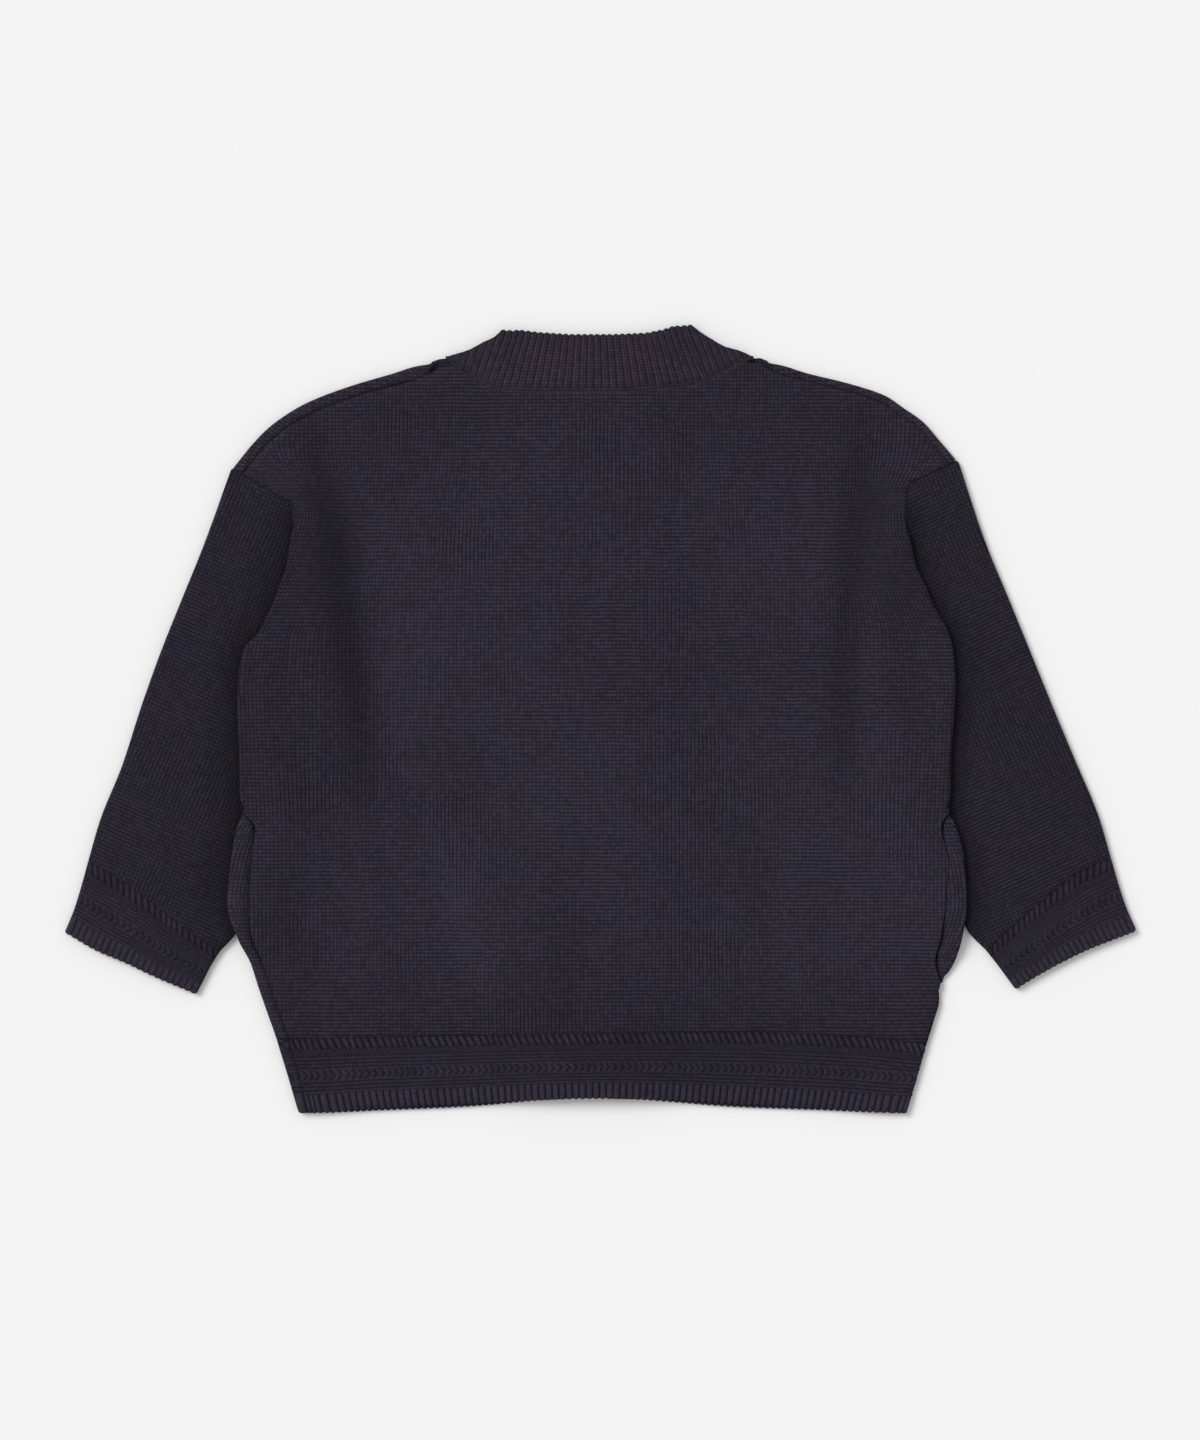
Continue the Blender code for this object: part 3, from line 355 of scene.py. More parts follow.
def reach(turn, beyond):
    """How far the strip's outer face stands out from where it starts to turn."""
    if turn < math.pi / 2:
        return roll(ROLL_LENGTH + beyond, turn)[0] + HALF * math.sin(turn)
    return ROLL_LENGTH / turn + HALF


print("a turned edge takes", round(ROLL_LENGTH, 2), "mm of cloth")

# %% [markdown]
# ## Where each side turns
#
# At one height the back turns under at the side and the front stays flat, at another the front turns up
# over the edge. This works out from the table where each panel starts to turn, which way is out there, and
# how much cloth goes past the turn. It could be modelled by hand, but the two panels would soon overlap.

# %% Where each side turns
PASSING_SLACK = 1.5
# The armhole runs this way from the shoulder's tip, out and up
ARM_WAY = (0.63, -0.78)
LEAN_STEP = 2.0


def edge_columns(sign, panel):
    """The panel's edge at each row: its place out, its turn from 0 to 1, and the strip past the turn."""
    rows = []
    table = SIDES[sign]
    for i, (row, rise, outline, seam, turn) in enumerate(table):
        turned = int(turn == (1 if panel == "back" else -1))
        passing = row < 0 and any(near[4] == 0 for near in table[max(0, i - 1):i + 2])
        crossing = row < 0 and turn == 0
        slack = passing if panel == "back" else crossing
        gap = GAP / 2 + (PASSING_SLACK if slack else 0.0)
        beyond = max(LEAST_TURNING, outline - seam - ROLL - HALF - gap) if turned else LEAST_TURNING
        rows.append((row, rise, outline if turned else seam - gap, turned, beyond))
    return np.array(rows, float)


EDGES = {(sign, panel): edge_columns(sign, panel) for sign in (-1, 1) for panel in ("back", "front")}
SEAMS = {sign: np.array(SIDES[sign], float) for sign in (-1, 1)}


def column(table, row, index):
    return float(np.interp(row, table[:, 0], table[:, index]))


def seam_point(sign, row, shift=0.0):
    """A plan point of the side's seam, moved out by the shift."""
    return np.array([sign * (column(SEAMS[sign], row, 3) + shift), row + column(SEAMS[sign], row, 1)])


def side_start(sign, panel, row):
    """Where a panel starts to turn at its side, the way out, its turn and the strip beyond."""
    table = EDGES[sign, panel]
    low = max(row - LEAN_STEP, table[0, 0])
    high = min(row + LEAN_STEP, table[-1, 0])
    rise = high - low + column(table, high, 1) - column(table, low, 1)
    lean = (column(table, high, 2) - column(table, low, 2)) / rise
    slant = column(table, row, 3) if panel == "back" and row > CROSSING_ROW else 0.0
    outward = np.array([sign, -lean * slant])
    arm = np.array([sign * ARM_WAY[0], ARM_WAY[1]])
    outward = unit(outward + (arm - outward) * ease((row - CAP_ROW) / (TIP_ROW - CAP_ROW)))
    turn = math.pi * column(table, row, 3)
    beyond = column(table, row, 4)
    edge = np.array([sign * column(table, row, 2), row + column(table, row, 1)])
    return edge - outward * reach(turn, beyond), outward, turn, beyond


print("widest in mm:", round(sum(EDGES[sign, "back"][:, 2].max() for sign in (-1, 1)), 1))

# %% [markdown]
# ## How the layers lift each other
#
# The sleeves lie on the fronts and under the back, and the button bands lie under the middle of it. What
# lies on them ramps up over them and down again. These functions give that lift at any place.

# %% Lift over sleeves and bands
SLEEVE_STACK = 2 * LAYER
BUTTON_LIFT = BUTTON_THICK + GAP
BAND_SIDE = {-1: BAND_LEFT - GAP, 1: BAND_RIGHT + GAP}
# Where a ramp starts beside a sleeve, and how wide each ramp is
RAMP_CLEAR = 2.5
FRONT_SLEEVE_RAMP = 22.0
BACK_SLEEVE_RAMP = 40.0
CAP_RAMP = 17.2
UNDERARM_RAMP = 11.5
NECK_RAMP = 33.0
FRONT_RAMP = 24.0
BACK_RAMP = 60.0


def sleeve_inside(sign, up):
    """How far out the sleeve's inner edge lies under the body at this height, or the armhole above it."""
    if up >= UNDERARM_ROW:
        return column(SEAMS[sign], min(up, CAP_ROW), 3)
    points = np.array(SLEEVE_INNER[sign])[::-1]
    return float(np.interp(up, points[:, 1], points[:, 0]))


def over_sleeve(x, up, width):
    """How far a sleeve lifts what lies on it, ramping up over a width that ends just short of the sleeve."""
    sign = -1 if x < 0 else 1
    below_cap = ease((CAP_ROW - up) / CAP_RAMP)
    inside = sleeve_inside(sign, up) - RAMP_CLEAR
    return SLEEVE_STACK * below_cap * ease((abs(x) - inside + width) / width)


def front_lift(x, up):
    sign = -1 if x < 0 else 1
    sleeve = over_sleeve(x, up, FRONT_SLEEVE_RAMP) * ease((UNDERARM_ROW - up) / UNDERARM_RAMP)
    band = BUTTON_LIFT if sign < 0 else BUTTON_LIFT + LAYER
    return sleeve + band * ease(1 - sign * (x - BAND_SIDE[sign]) / FRONT_RAMP)


def back_lift(x, up):
    aside = max(0.0, BAND_LEFT - x, x - BAND_RIGHT)
    over_band = (BUTTON_LIFT + LAYER) * ease(1 - aside / BACK_RAMP) * ease((NECK_LEVEL_ROW - up) / NECK_RAMP)
    return over_sleeve(x, up, BACK_SLEEVE_RAMP) + over_band


print("the back lies", round(back_lift(0.0, 0.0), 1), "mm higher over the button bands")

# %% [markdown]
# ## The fronts
#
# A front runs from its button band to the side, and its top turns over the shoulder on to the back. The
# function gives one point of the cloth's middle from how far across it is and how far up.

# %% Shape of a front
# Shares of the front's width: its neck seam, then where the shoulder starts to turn and how fast
NECK_SHARE = 0.42
TURN_FROM = 0.015
TURN_OVER = 0.035
SIDE_SHARE = 0.18
TIP_SHARE = 0.88
TIP_PULL = 8
ROW_BOW = 2.0
# How far each front comes over its shoulder fold on to the back
SHOULDER_OVER = {-1: 6.4, 1: 4.4}


def fitted_top(sign):
    """The front's top as a line of points: neck seam, then shoulder fold, each reached by its share."""
    neck = path([(BAND_SIDE[sign], FRONT_NECK[0][1])] + mirrored(FRONT_NECK, sign))
    shoulder = path(mirrored(SHOULDER_FOLD[sign], sign))

    def at(share):
        if share <= NECK_SHARE:
            return neck(share / NECK_SHARE)
        return shoulder((share - NECK_SHARE) / (1 - NECK_SHARE))

    return at


FRONT_TOP_LINE = {sign: fitted_top(sign) for sign in (-1, 1)}


def shoulder_turn(share):
    """The front turns over the shoulder fold, but not at the neck."""
    return math.pi * ease((share - NECK_SHARE - TURN_FROM) / TURN_OVER)


def shoulder_over(sign, bend):
    """The strip past the fold is short where the turn only begins, so that it doesn't stand up."""
    full = SHOULDER_OVER[sign] - ROLL - HALF - GAP
    return LEAST_TURNING + (full - LEAST_TURNING) * ease(bend / math.pi) ** 2


def top_ramp(inside, row):
    """How far a row has bent up towards the top line. Well inside a panel this starts lower down."""
    start = CAP_ROW + (NECK_RAMP_START - CAP_ROW) * ease(inside / SIDE_SHARE)
    return min(1.0, max(0.0, (row - start) / (TIP_ROW - start)))


def front_point(sign, u, row, over=0.0):
    """One front's middle surface. u is 0 at the button band and 1 where its side edge starts to turn."""
    share = min(1.0, max(0.0, u))
    start, outward, turn, beyond = side_start(sign, "front", row)
    band = np.array([BAND_SIDE[sign], row])
    plan = band * (1 - share) + start * share
    ramp = top_ramp(1 - share, row)
    fold = FRONT_TOP_LINE[sign]
    along = unit(fold(min(1.0, share + 0.01)) - fold(max(0.0, share - 0.01)))
    upward = np.array([along[1], -along[0]]) * (-sign)
    arm = unit(seam_point(sign, TIP_ROW) - seam_point(sign, CAP_ROW))
    upward = unit(upward + (arm - upward) * ease((share - TIP_SHARE) / (1 - TIP_SHARE)))
    bend = shoulder_turn(share)
    past = shoulder_over(sign, bend)
    top = fold(share) - upward * reach(bend, past)
    tip = side_start(sign, "front", TIP_ROW)[0]
    base_top = np.array([band[0], TIP_ROW]) * (1 - share) + tip * share
    plan[1] -= ROW_BOW * math.sin(math.pi * share) * (1 - ramp)
    plan = plan + ramp * (top + (tip - seam_point(sign, TIP_ROW, -GAP / 2)) * share ** TIP_PULL - base_top)
    rise = 0.0
    if u > 1:
        advance, rise = roll(strip_length(u - 1, beyond), turn)
        plan = plan + outward * advance
    height = HALF + front_lift(plan[0], plan[1]) + rise
    if over > 0:
        advance, up = roll(strip_length(over, past), bend)
        plan = plan + upward * advance
        height += up
    return np.array([plan[0], plan[1], height])


SHOULDER_COLUMNS = [NECK_SHARE + TURN_FROM + TURN_OVER, 0.56, 0.66, 0.76, 0.82, 0.88, 0.94, 1]
FRONT_COLUMNS = [0, 0.06, 0.12, 0.2, 0.31, NECK_SHARE, NECK_SHARE + TURN_FROM, NECK_SHARE + 0.032]
FRONT_COLUMNS += SHOULDER_COLUMNS
print("left neck point in mm:", np.round(FRONT_TOP_LINE[-1](NECK_SHARE), 1))

# %% [markdown]
# ## The back
#
# The back's top follows three lines: a shoulder seam, the neck seam, and the other shoulder seam. Its
# shoulder seams are made from where the fronts end, so that the two always meet.

# %% Shape of the back
BACK_SHOULDER_SHARE = 0.3
SEAM_SPACE = 1.5 * GAP
NECK_POINT_SPACE = 3.5 * GAP


def back_shoulder(sign):
    """The back's shoulder seam, made from the end of what each front turns over its shoulder fold."""
    points = []
    for i, u in enumerate(SHOULDER_COLUMNS):
        end = front_point(sign, u, TIP_ROW, 1.0)[:2]
        before = front_point(sign, u, TIP_ROW, ARC_SHARE)[:2]
        points.append(end + unit(end - before) * (NECK_POINT_SPACE if i < 2 else SEAM_SPACE))
    arm = unit(seam_point(sign, CAP_ROW) - seam_point(sign, TIP_ROW))
    tip = seam_point(sign, TIP_ROW, -GAP / 2) + arm * (SHOULDER_OVER[sign] + GAP)
    _, outward, _, beyond = side_start(sign, "back", TIP_ROW)
    points[-1] = tip - outward * (ROLL_LENGTH + beyond)
    return straight([np.array(NECK_SEAM[0 if sign < 0 else -1])] + points)


def back_top_line():
    """The back's top from tip to tip, read by its share: shoulder seam, neck seam, shoulder seam."""
    left = back_shoulder(-1)
    right = back_shoulder(1)
    neck = path(NECK_SEAM)

    def at(share):
        if share < BACK_SHOULDER_SHARE:
            return left(1 - share / BACK_SHOULDER_SHARE)
        if share > 1 - BACK_SHOULDER_SHARE:
            return right((share - 1 + BACK_SHOULDER_SHARE) / BACK_SHOULDER_SHARE)
        return neck((share - BACK_SHOULDER_SHARE) / (1 - 2 * BACK_SHOULDER_SHARE))

    return at


BACK_TOP_LINE = back_top_line()


def back_point(u, row):
    """The back's middle surface. u is -1 and 1 where its edges start to turn, and goes past them."""
    share = (min(1.0, max(-1.0, u)) + 1) / 2
    left = side_start(-1, "back", row)
    right = side_start(1, "back", row)
    plan = left[0] * (1 - share) + right[0] * share
    ramp = top_ramp(1 - abs(2 * share - 1), row)
    top = side_start(-1, "back", TIP_ROW)[0] * (1 - share) + side_start(1, "back", TIP_ROW)[0] * share
    plan = plan + ramp * (BACK_TOP_LINE(share) - top)
    drop = 0.0
    if abs(u) > 1:
        _, outward, turn, beyond = left if u < 0 else right
        advance, drop = roll(strip_length(abs(u) - 1, beyond), turn)
        plan = plan + outward * advance
    return np.array([plan[0], plan[1], HALF + LAYER + back_lift(plan[0], plan[1]) - drop])


print("middle of the back's neck in mm:", np.round(BACK_TOP_LINE(0.5), 1))

# %% [markdown]
# ## The sleeves
#
# A sleeve is a tube pressed flat. Its outline is four lines, blended across, and the tube is walked round:
# the upper face, the inner fold, the lower face and the outer fold.

# %% Shape of a sleeve
# Shares of the way round the tube: a face and a fold
FACE_SHARE = 0.42
FOLD_SHARE = 0.08
# The upper face swells, away from the body's edge, the armhole and the cuff
SLEEVE_LOFT = 2.6
SLEEVE_CLEAR = 3.0
SLEEVE_CLEAR_RAMP = 22.0
SWELL_FROM = 0.04
SWELL_RAMP = 0.2
CUFF_FLAT = 0.12


def inset_line(points, sign, way):
    """A fold line moved in to where the fold starts to turn, and the way out of the fold at each share."""
    line = path(mirrored(points, sign))

    def outward(share):
        along = unit(line(min(1.0, share + 0.02)) - line(max(0.0, share - 0.02)))
        return np.array([along[1], -along[0]]) * sign * way

    return lambda share: line(share) - outward(share) * (ROLL + HALF), outward


def sleeve_plan(sign):
    """A plan point of the flat sleeve: across 0 where its outer fold starts, down 0 at the armhole."""
    outer, outer_way = inset_line(SLEEVE_OUTER[sign], sign, -1)
    inner, inner_way = inset_line(SLEEVE_INNER[sign], sign, 1)
    rows = (135.0, 128.0, CAP_ROW, 112.0, 104.0, 85.6, 64.1, 40.4, 20.6)
    top = straight([outer(0.0)] + [seam_point(sign, row, GAP / 2) for row in rows] + [inner(0.0)])
    edge = mirrored(CUFF_EDGE[sign], sign)
    bottom = path([outer(1.0)] + edge[1:-1] + [inner(1.0)])

    def at(across, down):
        flat = top(across) * (1 - down) + bottom(across) * down
        sides = outer(down) * (1 - across) + inner(down) * across
        corners = (top(0) * (1 - across) + top(1) * across) * (1 - down)
        corners = corners + (bottom(0) * (1 - across) + bottom(1) * across) * down
        return flat + sides - corners

    return at, outer_way, inner_way


SLEEVE_PLANS = {sign: sleeve_plan(sign) for sign in (-1, 1)}


def sleeve_point(sign, u, down):
    """A sleeve's middle surface round its tube: upper face, inner fold, lower face, outer fold."""
    plan, outer_way, inner_way = SLEEVE_PLANS[sign]
    u = u % 1.0
    turned = 0.0
    way = 0.0
    if u < FACE_SHARE:
        across = u / FACE_SHARE
    elif u < 0.5:
        across = 1.0
        turned = math.pi * (u - FACE_SHARE) / FOLD_SHARE
        way = inner_way(down)
    elif u < 0.5 + FACE_SHARE:
        across = 1 - (u - 0.5) / FACE_SHARE
        turned = math.pi
    else:
        across = 0.0
        turned = math.pi * (1 - (u - 0.5 - FACE_SHARE) / FOLD_SHARE)
        way = outer_way(down)
    spot = plan(across, down) + way * ROLL * math.sin(turned)
    spot[1] -= ROW_BOW * math.sin(math.pi * across) * math.sin(math.pi * down)
    edge = column(SEAMS[sign], spot[1], 2)
    if spot[1] < CAP_ROW:
        clear = ease((abs(spot[0]) - edge - SLEEVE_CLEAR) / SLEEVE_CLEAR_RAMP)
    else:
        clear = ease((down - SWELL_FROM) / SWELL_RAMP)
    at_cuff = ease((1 - down) / CUFF_FLAT + 0.25)
    swell = SLEEVE_LOFT * math.sin(math.pi * across) ** 0.8 * clear * at_cuff
    if turned > 0:
        swell = 0.0
    return np.array([spot[0], spot[1], HALF + ROLL + ROLL * math.cos(turned) + swell])


print("middle of the left cuff's edge in mm:", np.round(SLEEVE_PLANS[-1][0](0.5, 1.0), 1))

# %% [markdown]
# ## The neckband
#
# The neckband is a strip that stands on the neck seam and folds at its two sides. Its seam is made from the
# back's own neck points, moved off them by the width of the seam.

# %% Shape of the neckband
BACK_COLUMNS = [-1, -0.96, -0.92, -0.88, -0.84, -0.8, -0.74, -0.64, -0.52, -0.4, -0.36, -0.32, -0.27]
BACK_COLUMNS += [-0.2, -0.13, -0.06, 0.01, 0.08, 0.15, 0.22, 0.29, 0.34, 0.4, 0.52, 0.64, 0.74, 0.8]
BACK_COLUMNS += [0.84, 0.88, 0.92, 0.96, 1]


def moved_off(points, distance):
    """A line of plan points moved to its upper side, square to itself."""
    points = np.asarray(points, float)
    along = np.gradient(points, axis=0)
    moved = [p + distance * unit(np.array([-a[1], a[0]])) for p, a in zip(points, along)]
    moved[0] = moved[0] + np.array([0.0, distance])
    moved[-1] = moved[-1] + np.array([0.0, distance])
    return moved


COLLAR_SIDES = {sign: inset_line(COLLAR_FOLD[sign], sign, -1) for sign in (-1, 1)}
# The ribs that reach the free edge stand on this much of the half seam; the others run into the fold.
COLLAR_RIBBED = 0.85
COLLAR_SEAM_REACH = (-62.5, 60.0)
COLLAR_FREE_REACH = (-51.0, 47.4)
COLLAR_BLEND = 0.3


def collar_fold(sign, height):
    """Where the neckband starts to turn at a side, and the way out of that fold."""
    line, outward = COLLAR_SIDES[sign]
    return line(height), outward(height)


def collar_line(middle, height, ribbed):
    """An edge of the neckband on the back, read by u from -1 to 1."""
    points = np.array([collar_fold(-1, height)[0]] + middle + [collar_fold(1, height)[0]])
    lengths = walked(points)
    stops = [0.0, *np.interp(ribbed, points[:, 0], lengths), lengths[-1]]

    def at(u):
        length = np.interp(u, (-1, -COLLAR_RIBBED, COLLAR_RIBBED, 1), stops)
        return read_line(length, lengths, points)

    return at


NECK_POINTS = [back_point(u, TIP_ROW)[:2] for u in BACK_COLUMNS if abs(u) <= 0.4]
COLLAR_SEAM_BACK = collar_line(moved_off(NECK_POINTS, SEAM_SPACE), 0.0, COLLAR_SEAM_REACH)
COLLAR_FREE_BACK = collar_line([np.array(p) for p in COLLAR_EDGE_BACK], 1.0, COLLAR_FREE_REACH)


def collar_front_edges(sign):
    """The seam and the free edge of the neckband's part on one front."""
    edges = []
    for height, points in ((0.0, COLLAR_SEAM_FRONT), (1.0, COLLAR_EDGE_FRONT)):
        end = (BAND_SIDE[sign], points[-1][1])
        edges.append(path([collar_fold(sign, height)[0]] + mirrored(points, sign) + [end]))
    return edges


COLLAR_FRONT = {sign: collar_front_edges(sign) for sign in (-1, 1)}


def collar_bow(sign, height, share):
    """How far the side fold's curve moves the cloth off a straight line, less and less with the share."""
    low, high = (collar_fold(sign, h)[0] for h in (0.0, 1.0))
    bowed = collar_fold(sign, height)[0] - low * (1 - height) - high * height
    return bowed * ease(1 - share / COLLAR_BLEND)


def collar_point(u, height):
    """The neckband's middle surface: u -1 to 1 on the back, side folds to 2, then the fronts to 3."""
    sign = -1 if u < 0 else 1
    side = abs(u)
    height = min(1.0, max(0.0, height))
    if side <= 1:
        plan = COLLAR_SEAM_BACK(u) * (1 - height) + COLLAR_FREE_BACK(u) * height
        plan = plan + collar_bow(sign, height, 1 - side)
        return np.array([plan[0], plan[1], HALF + LAYER + back_lift(plan[0], plan[1])])
    if side <= 2:
        fold, outward = collar_fold(sign, height)
        turned = math.pi * (side - 1)
        plan = fold + outward * ROLL * math.sin(turned)
        return np.array([plan[0], plan[1], HALF + ROLL + ROLL * math.cos(turned)])
    seam, free = COLLAR_FRONT[sign]
    plan = seam(side - 2) * (1 - height) + free(side - 2) * height
    plan = plan + collar_bow(sign, height, side - 2)
    return np.array([plan[0], plan[1], HALF + front_lift(plan[0], plan[1])])


print("neckband at the middle in mm:", round(collar_point(0, 1)[1] - collar_point(0, 0)[1], 1))

# %% [markdown]
# ## From a shape to a grid of points
#
# Asking those functions for every point of a fine mesh would be slow. They are asked at a few places, and
# the curve that never swings past its points fills in the rest, for whole rows at once. The way out of the
# cloth at each point comes from its neighbours.

# %% A fine grid of points
def laid_points(point, knots_u, knots_v, us, vs):
    """The shape read at the knots, then at every u and v, as rows of points."""
    read = np.array([[point(u, v) for u in knots_u] for v in knots_v])
    across = steady(knots_u, read.transpose(1, 0, 2))(us)
    return steady(knots_v, across.transpose(1, 0, 2))(vs)


def way_out(points, flip, closed=False):
    """The direction square to the cloth at each point."""
    wide = np.concatenate([points[:, -2:-1], points, points[:, 1:2]], axis=1) if closed else points
    along = np.gradient(wide, axis=1)
    up = np.gradient(points, axis=0)
    along = along[:, 1:-1] if closed else along
    out = np.cross(along, up) * flip
    return out / np.maximum(np.linalg.norm(out, axis=2, keepdims=True), 1e-9)


def run_length(points):
    """How far along its row of the cloth each point is, from the first."""
    steps = np.linalg.norm(np.diff(points, axis=1), axis=2)
    return np.concatenate([np.zeros_like(steps[:, :1]), np.cumsum(steps, axis=1)], axis=1)


def spaced(start, end, count):
    return [start + (end - start) * i / count for i in range(count + 1)]


print("four steps from 0 to 1:", spaced(0, 1, 4))

# %% [markdown]
# ## From points to a closed wall of cloth
#
# Cloth has two faces. One long grid can make both: its rows run up the outer face, round the top edge and
# down the inner face, as a pillowcase would be knitted in one strip. Where the ends meet, the doubles are
# merged and the wall is closed. The outer face can carry ribs while the inner one stays plain. The grid's
# UV map is called Knit and holds real distances, so that stitches come out at their real size.

# %% A closed wall of cloth
def cloth_piece(
    name, points, out, knit, finish, node, painted_shade, relief=0.0, closed=False, rounding=(0.1, 0.1)
):
    """One closed wall of cloth round its middle points in millimetres, dressed, riding on the body."""
    outer = points + out * (HALF + relief)
    outer[..., 2] = np.maximum(outer[..., 2], 0.0)
    inner = points - out * HALF
    middle = (outer + inner) / 2
    first = middle[0] + unit_rows(middle[0] - middle[1]) * rounding[0]
    last = middle[-1] + unit_rows(middle[-1] - middle[-2]) * rounding[1]
    faces = np.concatenate([[first], outer, [last], inner[::-1], [first]])
    # The piece's painted shade goes along with its Knit map, one value for each point
    knit = np.concatenate([knit, painted_shade[..., None]], axis=2)
    maps = np.concatenate([[knit[0]], knit, [knit[-1]], knit[::-1], [knit[0]]])
    if not closed:
        ends = np.concatenate([[first], middle, [last], middle[::-1], [first]])
        faces = np.concatenate([ends[:, :1], faces, ends[:, -1:]], axis=1)
        maps = np.concatenate([maps[:, :1], maps, maps[:, -1:]], axis=1)
    mesh, open_edges = grid_mesh(name, faces, maps)
    piece = new_piece(name, mesh, finish)
    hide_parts(node)
    print(name, 2 * len(mesh.polygons), "triangles,", open_edges, "open edges")
    return piece


def grid_mesh(name, faces, maps):
    """A mesh from rows of points in millimetres, with its Knit map and its painted shade, doubles merged."""
    rows, columns = faces.shape[:2]
    model = bmesh.new()
    bmesh.ops.create_grid(model, x_segments=columns - 1, y_segments=rows - 1, size=0.5)
    mesh = bpy.data.meshes.new(name)
    model.to_mesh(mesh)
    mesh.vertices.foreach_set("co", (faces * MM).ravel())
    corners = np.empty(len(mesh.loops), np.int32)
    mesh.loops.foreach_get("vertex_index", corners)
    places = (maps[..., :2] * MM).reshape(-1, 2)[corners]
    mesh.uv_layers.new(name="Knit").data.foreach_set("uv", places.ravel())
    mesh.attributes.new("Depth", "FLOAT", "POINT").data.foreach_set("value", maps[..., 2].ravel())
    model.clear()
    model.from_mesh(mesh)
    bmesh.ops.remove_doubles(model, verts=model.verts[:], dist=2e-6)
    bmesh.ops.recalc_face_normals(model, faces=model.faces[:])
    open_edges = sum(1 for e in model.edges if len(e.link_faces) != 2)
    model.to_mesh(mesh)
    model.free()
    mesh.shade_smooth()
    return mesh, open_edges


def new_piece(name, mesh, finish):
    """An object with its finish, riding on the body."""
    mesh.materials.append(finish)
    piece = bpy.data.objects.new(name, mesh)
    bpy.context.scene.collection.objects.link(piece)
    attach(piece, "root")
    return piece


def unit_rows(vectors):
    return vectors / np.maximum(np.linalg.norm(vectors, axis=1, keepdims=True), 1e-9)


print("a wall of cloth is", CLOTH * MM, "m thick, in the scene's own unit")

# %% [markdown]
# ## Arithmetic with nodes
#
# A finish made with nodes is arithmetic on the place of each point of the surface. Written out node by
# node, it is long and hard to follow. A small class lets the same nodes be made by writing the sum itself.

# %% Arithmetic with nodes
class Signal:
    """What comes out of a node. Arithmetic with it adds a math node for each step."""

    def __init__(self, recipe, socket):
        self.recipe = recipe
        self.socket = socket

    def math(self, operation, a, b=0.0):
        return self.recipe.read("ShaderNodeMath", 0, {0: a, 1: b}, operation=operation)

    def __add__(self, other):
        return self.math("ADD", self, other)

    def __sub__(self, other):
        return self.math("SUBTRACT", self, other)

    def __rsub__(self, other):
        return self.math("SUBTRACT", other, self)

    def __mul__(self, other):
        return self.math("MULTIPLY", self, other)

    def __truediv__(self, other):
        return self.math("DIVIDE", self, other)

    def __pow__(self, other):
        return self.math("POWER", self, other)

    def shaped(self, operation):
        return self.math(operation, self)


class Recipe:
    """A material under way, with a short way to chain nodes."""

    def __init__(self, name, roughness, specular):
        self.material = bpy.data.materials.new(name)
        self.material.use_nodes = True
        self.tree = self.material.node_tree
        self.shader = self.tree.nodes["Principled BSDF"]
        self.shader.inputs["Roughness"].default_value = roughness
        self.shader.inputs["Specular IOR Level"].default_value = specular

    def read(self, kind, output, inputs=(), **settings):
        """A new node with its settings and inputs, and the one output that is wanted of it."""
        node = self.tree.nodes.new(kind)
        for key, setting in settings.items():
            setattr(node, key, setting)
        for key, source in dict(inputs).items():
            if isinstance(source, Signal):
                self.tree.links.new(source.socket, node.inputs[key])
            else:
                node.inputs[key].default_value = source
        return Signal(self, node.outputs[output])

    def mix(self, share, a, b):
        return self.read("ShaderNodeMix", 2, {0: share, 6: a, 7: b}, data_type="RGBA")

    def noise(self, vector, scale, detail=2.0):
        return self.read("ShaderNodeTexNoise", "Fac", {"Vector": vector, "Scale": scale, "Detail": detail})

    def stretched(self, value, low, high):
        return self.read("ShaderNodeMapRange", 0, {0: value, 1: low, 2: high})

    def feed(self, name, signal):
        self.tree.links.new(signal.socket, self.shader.inputs[name])


print("a recipe can", [skill for skill in vars(Recipe) if not skill.startswith("_")])

# %% [markdown]
# ## A knitted finish
#
# Stocking stitch is columns of small V shapes, about 2.2 mm wide and 2.1 mm high here. There are some
# thirty thousand of them, too many to model, so nodes draw them from the Knit map: the height of the yarn
# in each V, painted shade on the low parts of the yarn and in the gaps between the loops, a tone of its own
# for each stitch, and a slow unevenness over the whole cloth. The painted shade that each piece carries
# darkens the colour too. Another way is a tiled picture, but that repeats and has to be stored.

# %% Knitted finish
WALE = 2.25 * MM
COURSE = 2.1 * MM
# How many swings of each unevenness go into a metre
SLOW_SCALE = 9.0
PATCH_SCALE = 16.0
WARMTH_SCALE = 38.0
WANDER_SCALE = 50.0
FUZZ_SCALE = 2200.0
# A second noise is read this far away, so that it doesn't follow the first
ELSEWHERE = (3.1, 1.7, 0.0)
# Painted shade for pieces without a Knit map, the same all over them
BARE_PAINTED_SHADE = 0.9


